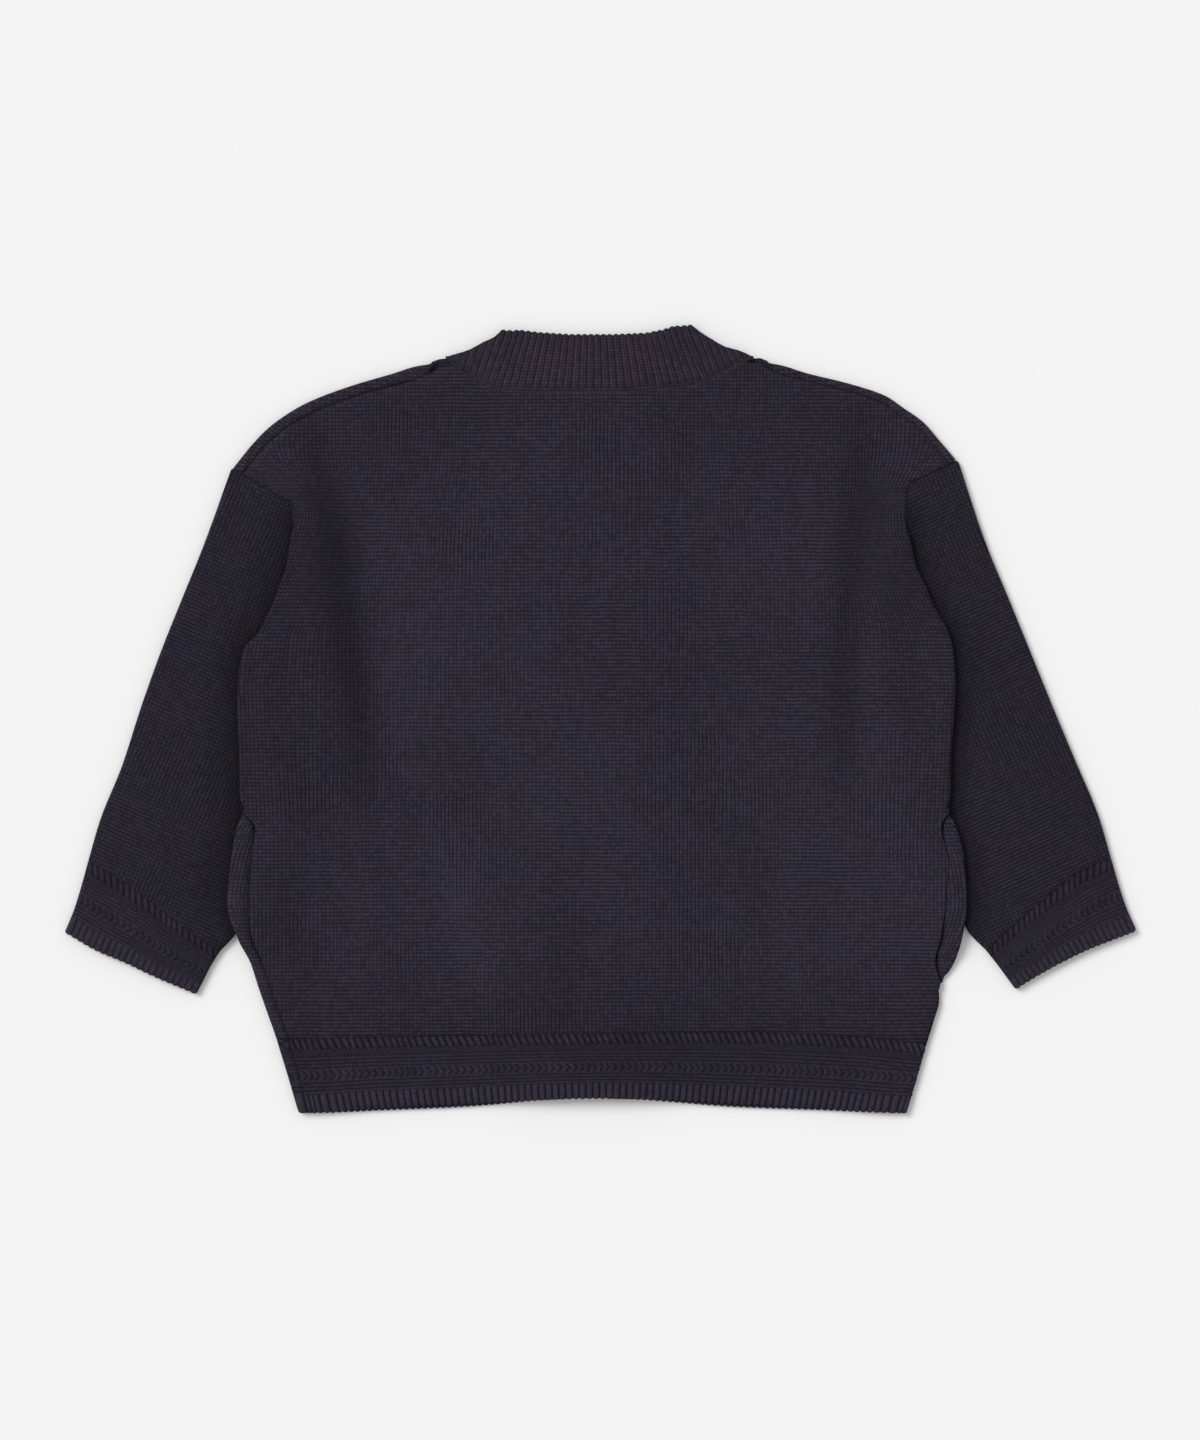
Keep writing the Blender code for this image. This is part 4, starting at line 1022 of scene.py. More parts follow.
def knitted(name, crest, wale=WALE, course=COURSE, relief=0.5, wander=1.2, plain=0.0, mapped=True):
    """Stocking stitch: V stitches with painted shade in their gaps, each with a tone of its own."""
    recipe = Recipe(name, roughness=0.95, specular=0.05)
    if mapped:
        place = recipe.read("ShaderNodeUVMap", "UV", uv_map="Knit")
        # The painted shade that the piece carries, which darkens its colour
        painted_shade = recipe.read("ShaderNodeAttribute", "Fac", attribute_name="Depth")
    else:
        place = recipe.read("ShaderNodeTexCoord", "Object")
        painted_shade = BARE_PAINTED_SHADE
    elsewhere = recipe.read("ShaderNodeVectorMath", 0, {0: place, 1: ELSEWHERE}, operation="ADD")

    # The wales and courses wander a little off their straight lines
    drift_x = (recipe.noise(place, WANDER_SCALE) - 0.5) * (wander * MM)
    drift_y = (recipe.noise(elsewhere, WANDER_SCALE) - 0.5) * (wander * MM)
    across = (recipe.read("ShaderNodeSeparateXYZ", 0, {0: place}) + drift_x) / wale
    up = (recipe.read("ShaderNodeSeparateXYZ", 1, {0: place}) + drift_y) / course

    # A stitch is two legs with a gap down its middle, and each leg slants up to the side
    aside = (across.shaped("FRACT") - 0.5).shaped("ABSOLUTE")
    rounded = 1.0 - aside * aside * 4.0
    legs = (aside * (2 * math.pi)).shaped("SINE")
    wale_height = rounded * 0.65 + legs * 0.35
    slanted = up - aside * 0.7
    loop_height = (slanted.shaped("FRACT") * math.pi).shaped("SINE") ** 0.8

    # In some places the wales show more and in others the courses do, as on washed cloth
    share = recipe.stretched(recipe.noise(elsewhere, PATCH_SCALE, 1.0), 0.35, 0.65)
    wales_show = (share * 0.55 + 0.40) * (1 - plain)
    courses_show = (1.0 - share * 0.45) * (1 - plain)
    height = (1.0 - wales_show * (1.0 - wale_height)) * (1.0 - courses_show * (1.0 - loop_height))

    # Each stitch has a tone of its own, on a slow unevenness and under a fine fuzz. Painted shade on the
    # yarn's low parts and the piece's own painted shade darken it towards the colour of full painted shade
    stitch = recipe.read("ShaderNodeCombineXYZ", 0, {0: across.shaped("FLOOR"), 1: slanted.shaped("FLOOR")})
    own = recipe.read("ShaderNodeTexWhiteNoise", "Value", {"Vector": stitch}, noise_dimensions="2D")
    fuzz = recipe.noise(place, FUZZ_SCALE, 1.0)
    slow = recipe.noise(place, SLOW_SCALE, 3.0)
    tone_and_painted_shade = height * (own * 0.45 + 0.78) * (slow * 0.5 + 0.75)
    tone_and_painted_shade = tone_and_painted_shade * (fuzz * 0.6 + 0.7) * painted_shade
    warm = tuple(c * f for c, f in zip(crest, (1.07, 0.97, 0.98, 1.0)))
    cool = tuple(c * f for c, f in zip(crest, (0.94, 1.01, 1.01, 1.0)))
    warmth = recipe.stretched(recipe.noise(elsewhere, WARMTH_SCALE), 0.4, 0.6)
    yarn = recipe.mix(warmth, cool, warm)
    recipe.feed("Base Color", recipe.mix(recipe.read("ShaderNodeClamp", 0, {0: tone_and_painted_shade}), YARN_GAP_PAINTED_SHADE, yarn))
    bump = {"Strength": 1.0, "Distance": relief * MM, "Height": height + fuzz * 0.3}
    recipe.feed("Normal", recipe.read("ShaderNodeBump", 0, bump))
    recipe.shader.inputs["Sheen Weight"].default_value = 0.03
    recipe.shader.inputs["Sheen Roughness"].default_value = 0.6
    return recipe.material


print("stitches of", 1000 * WALE, "by", 1000 * COURSE, "mm")

# %% [markdown]
# ## The yarns
#
# All of it is one dark navy-charcoal yarn. The sleeves lie lower and slope away from the light, so their
# yarn is given a darker colour, as painted shade. The shoulder, armhole and side seams get a darker yarn
# too, as painted shade in the groove between two panels, and the ribbed neckband looks a little warmer and
# lighter. Each kind of knitting has stitches of its own size. The button bands have no Knit map, so their
# stitches are laid on the object's own place.

# %% Yarns
BODY_YARN = (0.0423, 0.0355, 0.0553, 1.0)
# A darker copy of the body's yarn, as painted shade on the sleeves, which lie lower
SLEEVE_YARN_PAINTED_SHADE = (0.0305, 0.0268, 0.0415, 1.0)
BAND_YARN = (0.0400, 0.0345, 0.0535, 1.0)
COLLAR_YARN = (0.0545, 0.0412, 0.0640, 1.0)
# A darker copy of the yarn, as painted shade in the groove between two panels
SEAM_YARN_PAINTED_SHADE = (0.0260, 0.0230, 0.0350, 1.0)
# The colour of the knitting in full painted shade, in its gaps and recesses
YARN_GAP_PAINTED_SHADE = (0.0030, 0.0026, 0.0038, 1.0)
body_knit = knitted("body_knit", BODY_YARN)
painted_shade_sleeve_knit = knitted("painted_shade_sleeve_knit", SLEEVE_YARN_PAINTED_SHADE)
rib_knit = knitted("rib_knit", COLLAR_YARN, 1.8 * MM, 1.7 * MM, relief=0.3, wander=0.5, plain=0.4)
painted_shade_seam_knit = knitted("painted_shade_seam_knit", SEAM_YARN_PAINTED_SHADE, 1.2 * MM, 1.6 * MM, relief=0.2, wander=0.3, plain=0.5)
band_knit = knitted("band_knit", BAND_YARN, 1.95 * MM, 0.98 * MM, relief=0.3, wander=0.6, plain=0.6)
bare_knit = knitted("bare_knit", BAND_YARN, 2.4 * MM, 1.6 * MM, relief=0.3, wander=0.4, mapped=False)
print("knits:", [finish.name for finish in bpy.data.materials if finish.name.endswith("knit")])

# %% [markdown]
# ## The pattern of the bands
#
# Hem and cuffs have the same band, worked up from the free edge: nine millimetres of rib, a few garter
# rows, a row of slanted stitches, garter rows again, and an open slanted row where the band meets the
# plain cloth. It is raised in the mesh itself, because ribs and rows this size show at the edge too.

# %% Heights of the band's pattern
RIB_PITCH = 3.8
# Where each row of the pattern ends, up from the free edge
RIB_ZONE = 9.0
GARTER_END = 16.2
LEAVES_END = 21.2
UPPER_GARTER_END = 29.0
SMALL_END = 32.2
# How high they stand, and how far apart they are
RIB_HEIGHT = 0.8
GARTER_HEIGHT = 0.6
GARTER_PITCH = 1.95
OPEN_PITCH = 3.9


def rib(phase):
    """Rounded ribs with narrow gaps, from 0 in a gap to 1 on a rib. The phase counts ribs."""
    return np.abs(np.cos(math.pi * phase)) ** 0.75


def between(height, low, high, soft=0.5):
    """1 from low to high, with soft ends."""
    return np.clip((height - low) / soft + 0.5, 0, 1) * np.clip((high - height) / soft + 0.5, 0, 1)


def band_relief(along, phase, height):
    """How far the outer face stands up, from the distance along it, the count of ribs and the height."""
    ribs = RIB_HEIGHT * rib(phase)
    along = along + 0.5 * np.sin(along / 9.1) + 0.35 * np.sin(along / 4.3 + 1.0)
    uneven = 0.85 + 0.15 * np.sin(along / 13.0) * np.sin(along / 5.7 + 2.0)
    wave = 0.35 * np.sin(2 * math.pi * along / GARTER_PITCH)
    ridge = 0.5 - 0.5 * np.cos(2 * math.pi * (height - RIB_ZONE + wave) / GARTER_PITCH)
    garter = 0.1 + GARTER_HEIGHT * ridge
    lean = 0.45 * np.abs((height - 18.6) / 2.4)
    leaves = 0.12 + 0.52 * np.abs(np.cos(math.pi * (along / OPEN_PITCH + lean))) ** 1.2
    small = 0.05 + 0.5 * np.abs(np.cos(math.pi * (along / (0.5 * OPEN_PITCH) + 0.25 * (height - 30.5))))
    slits = 0.75 * np.abs(np.cos(math.pi * (along / OPEN_PITCH + 0.12 * (height - 35.5)))) ** 1.3
    slits = slits * (1 - 0.55 * np.abs((height - 35.4) / 3.2) ** 3)
    return (
        ribs * between(height, -RIB_ZONE, RIB_ZONE)
        + garter * between(height, RIB_ZONE, GARTER_END)
        + leaves * uneven * between(height, GARTER_END, LEAVES_END)
        + garter * between(height, LEAVES_END, UPPER_GARTER_END)
        + small * between(height, UPPER_GARTER_END, SMALL_END)
        + slits * uneven * between(height, SMALL_END, HEM_HEIGHT + RIB_ZONE)
    )


def band_painted_shade(relief):
    """Painted shade on a band: how much light reaches each place, little in its gaps."""
    return np.clip(0.04 + 1.32 * relief, 0, 0.94)


print("band", HEM_HEIGHT, "mm high with a rib of", RIB_PITCH, "mm")

# %% [markdown]
# ## Soft folds
#
# Cloth that has been laid down keeps a few broad, shallow folds. Each is a line with a width and a height,
# drawn from the photo: a trough beside each armhole with a swelling outside it, and weaker ones lower down.
# They differ in length and depth, as real ones do, and the hidden side has some too.

# %% Soft folds
# height, width, then the line as across, up
BACK_FOLDS = (
    (-2.1, 12.0, ((-167, 178), (-157, 136), (-148, 100), (-144, 57), (-136, 9), (-131, -56))),
    (-1.6, 9.5, ((147, 182), (146, 130), (142, 89), (138, 25), (141, -56))),
    (0.6, 14.0, ((-112, 60), (-104, 16), (-108, -40))),
    (-0.6, 14.0, ((-192, -70), (-176, -110), (-164, -160))),
    (-0.5, 16.0, ((40, -30), (92, -84), (118, -160))),
    (0.9, 12.0, ((-92, -50), (-80, -100), (-62, -165))),
    (0.8, 10.0, ((104, -60), (107, -110), (110, -165))),
    (-0.5, 12.0, ((-30, -60), (-21, -120), (-24, -175))),
)
# How much painted shade darkens the cloth beyond the long troughs, where it slopes away under the arm
BACK_SHADES = (
    (-0.24, 19.0, ((-168, 130), (-172, 80), (-180, 20), (-184, -60))),
    (-0.22, 17.0, ((164, 134), (168, 80), (174, 20), (178, -60))),
)
FRONT_FOLDS = (
    (0.7, 12.0, ((-150, 120), (-140, 40), (-146, -40))),
    (0.5, 14.0, ((120, 130), (130, 20), (124, -70))),
)


def soft_fold(points, height, width, line):
    """A ridge, or with a negative height a trough, along a line, fading at its two ends."""
    line = np.asarray(line, float)
    lengths = np.linalg.norm(np.diff(line, axis=0), axis=1)
    nearest = np.full(points.shape[:2], 1e9)
    share = np.zeros(points.shape[:2])
    so_far = 0.0
    for start, end, length in zip(line, line[1:], lengths):
        way = (end - start) / length
        along = np.clip((points[..., :2] - start) @ way, 0, length)
        distance = np.linalg.norm(points[..., :2] - start - along[..., None] * way, axis=2)
        closer = distance < nearest
        nearest = np.where(closer, distance, nearest)
        share = np.where(closer, (so_far + along) / lengths.sum(), share)
        so_far += length
    return height * np.exp(-(nearest / width) ** 2) * np.sin(math.pi * share) ** 0.6


def all_folds(points, folds):
    return sum(soft_fold(points, height, width, line) for height, width, line in folds)


print(len(BACK_FOLDS), "folds on the back and", len(FRONT_FOLDS), "on the fronts")

# %% [markdown]
# ## What all the panels need
#
# The back and both fronts have the same rows, so that their seams meet point by point. Each takes extra
# columns round its turned edges, and its lower rows bow up a little towards the middle, as the hem does.
# The Knit map is measured along the cloth itself, because a map from above would squeeze the stitches where
# the cloth turns.

# %% What all the panels need
PANEL_START = HEM_TOP + GAP / 2
PANEL_ROWS = sorted([PANEL_START, 60.0, 75.0, 95.0, 132.0] + [r[0] for r in SIDE_ROWS if r[0] > PANEL_START])
BAND_RISE = ((-190, 3.5), (-120, 4.8), (0, 7.0), (90, 7.6), (150, 5.0), (186, 0.6))
RISE_FADES = 34.0
ROLL_KNOTS = [0.1, 0.2, 0.3, 0.4, 0.5, 0.6, 1.0]
ROLL_FINE = [0.06, 0.12, 0.18, 0.24, 0.3, 0.36, 0.42, 0.48, 0.54, 0.6, 0.8, 1.0]


def band_rise(x):
    """How far the line between body and hem bows up from its straight row."""
    across, rise = zip(*BAND_RISE)
    return np.interp(x, across, rise)


def follow_hem(points, vs):
    """The lower rows bow up with the hem's line, and less and less above it."""
    share = np.array([1 - ease((v - HEM_TOP) / RISE_FADES) for v in vs])[:, None]
    points[..., 1] += band_rise(points[..., 0]) * share


def with_rolls(main, rolls):
    """Columns of a panel, and those past its turned edges: two on the back, one on a front."""
    past = [1 + r for r in rolls]
    before = [-p for p in reversed(past)] if main[0] < 0 else []
    return before + list(main) + past


def knit_map(points, middle_x=0.0):
    """Across from the middle by the cloth's own length, and up."""
    run = run_length(points)
    row = np.argmin(np.abs(points[..., 0] - middle_x), axis=1)
    start = np.take_along_axis(run, row[:, None], axis=1)
    from_middle = np.take_along_axis(points[..., 0], row[:, None], axis=1)
    return np.stack([run - start + from_middle, points[..., 1]], axis=2)


print(len(PANEL_ROWS), "rows of knots up each panel")

# %% [markdown]
# ## Wales and shade near the edges
#
# Beside an armhole the columns of stitches bend with the cut edge. Where cloth turns under, less light gets
# to it, more than a sun and an even sky can show on cloth this dark. So both are worked out here: the bend
# goes into the Knit map, and the shade into an attribute of painted shade that the finish multiplies with.

# %% Wales and shade near the edges
# How far out the wales of the armhole edge lie. up, out
WALE_EDGE = (
    (-60, 190), (-20, 192), (20, 194), (49, 190), (64, 184), (86, 176), (104, 172), (118, 173),
    (130, 184), (142, 198), (160, 214), (180, 226), (225, 240),
)
WALE_LEVEL = 190
WALE_BEND = 30.0
EDGE_SHADE = 0.26
EDGE_SHADE_WIDTH = 5.0
CAP_SHADE_RAMP = 14


def bent_wales(points):
    """Beside an armhole the wales follow its edge, and further in they straighten again."""
    up, edge = zip(*WALE_EDGE)
    line = np.interp(points[..., 1], up, edge)
    weight = np.exp(-(np.maximum(line - np.abs(points[..., 0]), 0) / WALE_BEND) ** 2)
    return np.sign(points[..., 0]) * (line - WALE_LEVEL) * weight


def body_edge(sign, points):
    """How far out the body's outline is at each point's height."""
    return np.interp(points[..., 1], SEAMS[sign][:, 0], SEAMS[sign][:, 2])


def folded_side(points, out):
    """Less light reaches a turned edge and what is close inside it."""
    shade = np.ones(points.shape[:2])
    for sign in (-1, 1):
        inside = np.abs(body_edge(sign, points) - sign * points[..., 0])
        below_cap = np.clip((CAP_ROW - points[..., 1]) / CAP_SHADE_RAMP, 0, 1)
        shade -= EDGE_SHADE * below_cap * np.exp(-(inside / EDGE_SHADE_WIDTH) ** 1.5)
    return shade * np.clip(0.55 + 0.5 * np.abs(out[..., 2]), 0.3, 1)


print("the wales bend by up to", max(edge for _, edge in WALE_EDGE) - WALE_LEVEL, "mm")

# %% [markdown]
# ## The back
#
# The back carries the picture. It is laid from its own function, with columns about 3 mm apart and more of
# them round the turned edges. The soft folds are pressed into it, with painted shade in their troughs and
# painted light on their swellings, and it darkens a little towards the hem and the shoulders, as in the
# photo.

# %% Back panel
FOLD_SHADE = 0.23
HEM_SHADE = 0.20
HEM_SHADE_RAMP = 60
YOKE_SHADE = 0.09
YOKE_ROW = 130
YOKE_SHADE_RAMP = 50
back_us = with_rolls(spaced(-1, 1, 136), ROLL_FINE)
back_vs = spaced(PANEL_START, TIP_ROW, 124)
back_points = laid_points(back_point, with_rolls(BACK_COLUMNS, ROLL_KNOTS), PANEL_ROWS, back_us, back_vs)
follow_hem(back_points, back_vs)
back_out = way_out(back_points, 1.0)
back_fold = all_folds(back_points, BACK_FOLDS) * (back_out[..., 2] > 0.5)
back_points[..., 2] += back_fold
back_knit = knit_map(back_points)
back_knit[..., 0] -= bent_wales(back_points)
# Painted shade: darker in the troughs, lighter on the swellings as painted light, darker along the turned
# edges and beyond the long troughs, and darker towards the hem and the shoulders
back_painted_shade = (1 + np.clip(back_fold * FOLD_SHADE, -0.5, 0.2)) * folded_side(back_points, back_out)
back_painted_shade *= 1 + all_folds(back_points, BACK_SHADES)
back_up = back_points[..., 1]
back_painted_shade *= 1 - HEM_SHADE * np.clip((HEM_TOP + HEM_SHADE_RAMP - back_up) / HEM_SHADE_RAMP, 0, 1)
back_painted_shade *= 1 - YOKE_SHADE * np.clip((back_up - YOKE_ROW) / YOKE_SHADE_RAMP, 0, 1)
back_panel = cloth_piece(
    "back_panel", back_points, back_out, back_knit, body_knit, "back", back_painted_shade,
    rounding=(0.3, 0.3),
)

# %% [markdown]
# ## The back's hem
#
# The hem goes on from the back's lower edge, in the same rows and columns, only finer, because six points
# to a rib are the fewest that look round. The free edge is scalloped: each rib ends a little lower.

# %% Back hem
HEM_RIBS = round(2 * 168.0 / RIB_PITCH)
RIB_COLUMNS = 6
RIB_SINK = 0.3
SCALLOP = 0.9
SCALLOP_HIGH = 3.0
HEM_END = HEM_TOP - GAP / 2
HEM_KNOTS = [HEM_BOTTOM, -213.0, -205.0, -194.0, HEM_END]
SWEEP = 8.6
SHOULDER_OF_SWEEP = 1.2


def hem_sweep(x):
    """The hem's free edge bows up from its corners to the middle."""
    shoulder = ease((abs(x) - 60) / 60) * ease((165 - abs(x)) / 40)
    return SWEEP * (1 - ease(abs(x) / 175.0)) + SHOULDER_OF_SWEEP * shoulder


def even_columns(point, low, ribs):
    """Columns evenly spaced along the free edge, a few to each rib, so that all ribs are as wide."""
    coarse = spaced(low, 1, 80)
    edge = np.array([point(u, HEM_BOTTOM) for u in coarse])
    run = walked(edge)
    return list(np.interp(np.linspace(0, run[-1], RIB_COLUMNS * ribs + 1), run, coarse))


def rib_count(us, even, ribs):
    """How many ribs lie before each column, going on at the same pitch round the turned edges."""
    us = np.asarray(us, float)
    flat = np.interp(us, even, np.linspace(0, ribs, len(even)))
    past = np.maximum(np.abs(us) - 1, 0)
    strip = np.interp(past, [0, ARC_SHARE, 1], [0, ROLL_LENGTH, ROLL_LENGTH + 2.0])
    return flat + np.sign(us) * strip / RIB_PITCH


def scallop(phase, from_edge):
    """How far a gap between two ribs ends short of them, close to the free edge."""
    return SCALLOP * (1 - rib(phase)) * np.clip(1 - from_edge / SCALLOP_HIGH, 0, 1)


def lay_hem(name, node, point, knots, ribs, flip, count):
    """A hem band laid on a panel's own function below its hem line."""
    even = even_columns(point, knots[0], ribs)
    us = with_rolls(even, ROLL_FINE)
    vs = spaced(HEM_BOTTOM, HEM_END, count)
    points = laid_points(point, with_rolls(knots, ROLL_KNOTS), HEM_KNOTS, us, vs)
    share = ((np.array(vs) - HEM_BOTTOM) / (HEM_END - HEM_BOTTOM))[:, None]
    sweep = np.array([hem_sweep(x) for x in points[0, :, 0]])
    points[..., 1] += sweep * (1 - share) + band_rise(points[..., 0]) * share
    height = share * HEM_HEIGHT + 0 * points[..., 0]
    phase = rib_count(us, even, ribs)[None, :] + 0 * height
    points[..., 1] += scallop(phase, height)
    out = way_out(points, flip)
    along = knit_map(points)[..., 0]
    relief = band_relief(along, phase, height)
    # Painted shade in the band's gaps
    return cloth_piece(
        name, points, out, np.stack([along, height], axis=2), band_knit, node,
        band_painted_shade(relief), relief=(relief - RIB_SINK)[..., None], rounding=(0.5, 0.3),
    )


back_hem = lay_hem("back_hem", "hem_back", back_point, spaced(-1, 1, 24), HEM_RIBS, 1.0, 84)

# %% [markdown]
# ## The fronts
#
# The fronts lie underneath, and only their turned edges show from above: a strip along each side, and the
# strip that wraps over each shoulder. The rest is the underside that the garment lies on.

# %% Fronts
# The front stands up a little higher where its neck seam meets the fold along the shoulder
NECK_RAISE = 1.9
NECK_RAISE_AT = NECK_SHARE - 0.003
NECK_RAISE_WIDTH = 0.02
NECK_RAISE_RAMP = 30
SHOULDER_SPAN = 10.0
FRONT_FOLD_SHADE = 0.25
FRONT_MAP_MIDDLE = 20.0


def lay_front(sign, side):
    def point(u, v):
        return front_point(sign, u, min(v, TIP_ROW), max(0.0, (v - TIP_ROW) / SHOULDER_SPAN))

    us = with_rolls(spaced(0, 1, 76), ROLL_FINE)
    rows = PANEL_ROWS + [TIP_ROW + SHOULDER_SPAN * k for k in ROLL_KNOTS]
    vs = spaced(PANEL_START, TIP_ROW, 118) + [TIP_ROW + SHOULDER_SPAN * k for k in ROLL_FINE]
    points = laid_points(point, with_rolls(FRONT_COLUMNS, ROLL_KNOTS), rows, us, vs)
    follow_hem(points, vs)
    near_neck = np.exp(-((np.array(us) - NECK_RAISE_AT) / NECK_RAISE_WIDTH) ** 2)[None]
    near_top = np.array([ease((v - TIP_ROW + NECK_RAISE_RAMP) / NECK_RAISE_RAMP) for v in vs])[:, None]
    points[..., 1] += NECK_RAISE * near_neck * near_top
    out = way_out(points, sign)
    fold = all_folds(points, FRONT_FOLDS) * (out[..., 2] < -0.5)
    points[..., 2] += fold
    # Painted shade on the underside's folds, darker the further each one rises
    return cloth_piece(
        "front_panel_" + side, points, out, knit_map(points, sign * FRONT_MAP_MIDDLE),
        body_knit, "front_" + side, 1 - FRONT_FOLD_SHADE * fold,
    )


front_left = lay_front(-1, "left")
front_right = lay_front(1, "right")

# %% [markdown]
# ## The fronts' hems
#
# Each front's hem is half of the back's, laid by the same function on the front's own shape. So its ribs are
# as wide, and its free edge has the same bow. On a real cardigan both are knitted on with the panel.

# %% Front hems
def lay_front_hem(sign, side):
    def point(u, v):
        return front_point(sign, u, v)

    return lay_hem(
        "front_hem_" + side, "hem_front_" + side, point, FRONT_COLUMNS, HEM_RIBS // 2, sign, 60
    )


front_hem_left = lay_front_hem(-1, "left")
front_hem_right = lay_front_hem(1, "right")

# %% [markdown]
# ## The sleeves
#
# Each sleeve is laid as its flat tube. The stitches run down the arm, so its Knit map is turned to the line
# from the armhole to the cuff. It could be cut from flat cloth with a seam, but a knitter shapes it on the
# needles.

# %% Sleeves
CUFF_LENGTH = 37.0
BODY_SHADE = 0.6
BODY_SHADE_WIDTH = 10.0


def sleeve_length(sign):
    plan = SLEEVE_PLANS[sign][0]
    return walked([plan(0.5, down) for down in spaced(0, 1, 20)])[-1]


SLEEVE_LENGTH = {sign: sleeve_length(sign) for sign in (-1, 1)}


def tube_columns(face, fold):
    """Columns round a flat tube: the upper face, the inner fold, the lower face and the outer fold."""
    columns = [FACE_SHARE * t for t in spaced(0, 1, face)][:-1] + spaced(FACE_SHARE, 0.5, fold)[:-1]
    return columns + spaced(0.5, 0.5 + FACE_SHARE, face)[:-1] + spaced(0.5 + FACE_SHARE, 1.0, fold)


def beside_body(sign, points):
    """The sleeve is in shade close beside the body's folded edge, which lies higher."""
    below_cap = np.clip((CAP_ROW + 6 - points[..., 1]) / 10, 0, 1)
    away = np.maximum(np.abs(points[..., 0]) - body_edge(sign, points), 0)
    return 1 - BODY_SHADE * below_cap * np.exp(-(away / BODY_SHADE_WIDTH) ** 1.3)


def laid_tube(sign, knots_u, knots_v, us, vs):
    """The points round a part of the sleeve, and the way out of the cloth at each."""
    points = laid_points(lambda u, v: sleeve_point(sign, u, v), knots_u, knots_v, us, vs)
    points[:, -1] = points[:, 0]
    return points, way_out(points, -sign, closed=True)


def lay_sleeve(sign, side):
    plan = SLEEVE_PLANS[sign][0]
    end = 1 - (CUFF_LENGTH + GAP / 2) / SLEEVE_LENGTH[sign]
    knots_v = [0, 0.04, 0.1, 0.18, 0.28, 0.4, 0.52, 0.64, 0.76, end]
    points, out = laid_tube(sign, tube_columns(44, 6), knots_v, tube_columns(44, 7), spaced(0, end, 90))
    down = unit(plan(0.5, 1.0) - plan(0.5, 0.1))
    across = np.array([-down[1], down[0]])
    knit = np.stack([points[..., :2] @ across, -(points[..., :2] @ down)], axis=2)
    return cloth_piece(
        "sleeve_shell_" + side, points, out, knit, painted_shade_sleeve_knit, "sleeve_" + side,
        beside_body(sign, points), closed=True, rounding=(1.3, 0.3),
    )


sleeve_left = lay_sleeve(-1, "left")
sleeve_right = lay_sleeve(1, "right")

# %% [markdown]
# ## The cuffs
#
# A cuff goes on from its sleeve and has the same band as the hem, all round. It is worked from the sleeve
# down, so the pattern's height is counted back up from the free edge.

# %% Cuffs
CUFF_RIBS = 2 * round(82.0 / RIB_PITCH)


def lay_cuff(sign, side):
    start = 1 - (CUFF_LENGTH - GAP / 2) / SLEEVE_LENGTH[sign]
    vs = spaced(start, 1.0, 80)
    knots_v = [start, (2 * start + 1) / 3, (start + 2) / 3, 1.0]
    points, out = laid_tube(sign, tube_columns(14, 6), knots_v, tube_columns(3 * CUFF_RIBS, 6), vs)
    run = run_length(points)
    phase = run / run[:, -1:] * CUFF_RIBS
    height = ((1 - np.array(vs)) / (1 - start) * HEM_HEIGHT)[:, None] + 0 * phase
    inward = unit_rows(points[-2] - points[-1])
    points += scallop(phase, height)[..., None] * inward[None]
    relief = band_relief(phase * RIB_PITCH, phase, height)
    # Painted shade in the band's gaps and beside the body's edge
    return cloth_piece(
        "cuff_shell_" + side, points, out, np.stack([phase * RIB_PITCH, height], axis=2),
        band_knit, "cuff_" + side, band_painted_shade(relief) * beside_body(sign, points),
        relief=(relief - RIB_SINK)[..., None], closed=True, rounding=(0.3, 0.5),
    )


cuff_left = lay_cuff(-1, "left")
cuff_right = lay_cuff(1, "right")

# %% [markdown]
# ## The neckband
#
# The neckband is knitted in rib all the way up, so its ribs fan out at the sides and end in a scalloped
# edge. Both halves have ribs, though only the back half shows from above.

# %% Neckband
COLLAR_RIBS = 28
COLLAR_HIGH = 32.0
COLLAR_WALE = 3.6
COLLAR_FOOT_PITCH = 4.1
COLLAR_RIB_HEIGHT = 0.9
COLLAR_SINK = 0.4
# The ribs start above the seam
RIB_FOOT = 1.5
DRAWN_IN = 2.3
DRAWN_IN_HIGH = 20.0
# Painted shade: how much light reaches a gap, and how dark and how wide the shaded line down each rib is
GAP_LIGHT = 0.16
LINE_SHADE = 0.6
LINE_WIDTH = 0.11


def collar_phase(us, points):
    """Which rib each place is on. The ribs stand on the seam and run on over the side folds."""
    ribbed = us / COLLAR_RIBBED * COLLAR_RIBS / 2
    phase = np.repeat(ribbed[None], len(points), axis=0)
    run = run_length(points)
    for sign in (-1, 1):
        edge = np.argmin(np.abs(us - sign * COLLAR_RIBBED))
        fold = np.argmin(np.abs(us - sign))
        beyond = sign * us > COLLAR_RIBBED
        seam = points[0, :, 0]
        slope = (points[-1, edge, 0] - seam[edge]) / (points[-1, edge, 1] - points[0, edge, 1])
        foot = points[..., 0] - slope * (points[..., 1] - points[0, edge, 1])
        aside = np.abs(foot - seam[edge]) * (sign * us <= 1)
        onwards = (np.abs(run - run[:, fold:fold + 1]) + aside[:, fold:fold + 1]) * (sign * us > 1)
        moved = sign * (COLLAR_RIBS / 2 + (aside + onwards) / COLLAR_FOOT_PITCH)
        phase = np.where(beyond, moved, phase)
    return phase


def drawn_in(us):
    """The seam pulls the foot of each side fold down on to the shoulder."""
    return DRAWN_IN * np.exp(-((np.abs(np.asarray(us, float)) - 1.5) / 0.75) ** 4)


def round_neck(plain, fold, ribbed, front):
    """Columns round the neckband: a front, a side fold, the back with its ribs, a fold and a front."""
    half = fold + [2 + s for s in front]
    main = spaced(-1, -COLLAR_RIBBED, plain)[:-1] + spaced(-COLLAR_RIBBED, COLLAR_RIBBED, ribbed)
    return [-h for h in reversed(half)] + main + spaced(COLLAR_RIBBED, 1, plain)[1:] + half


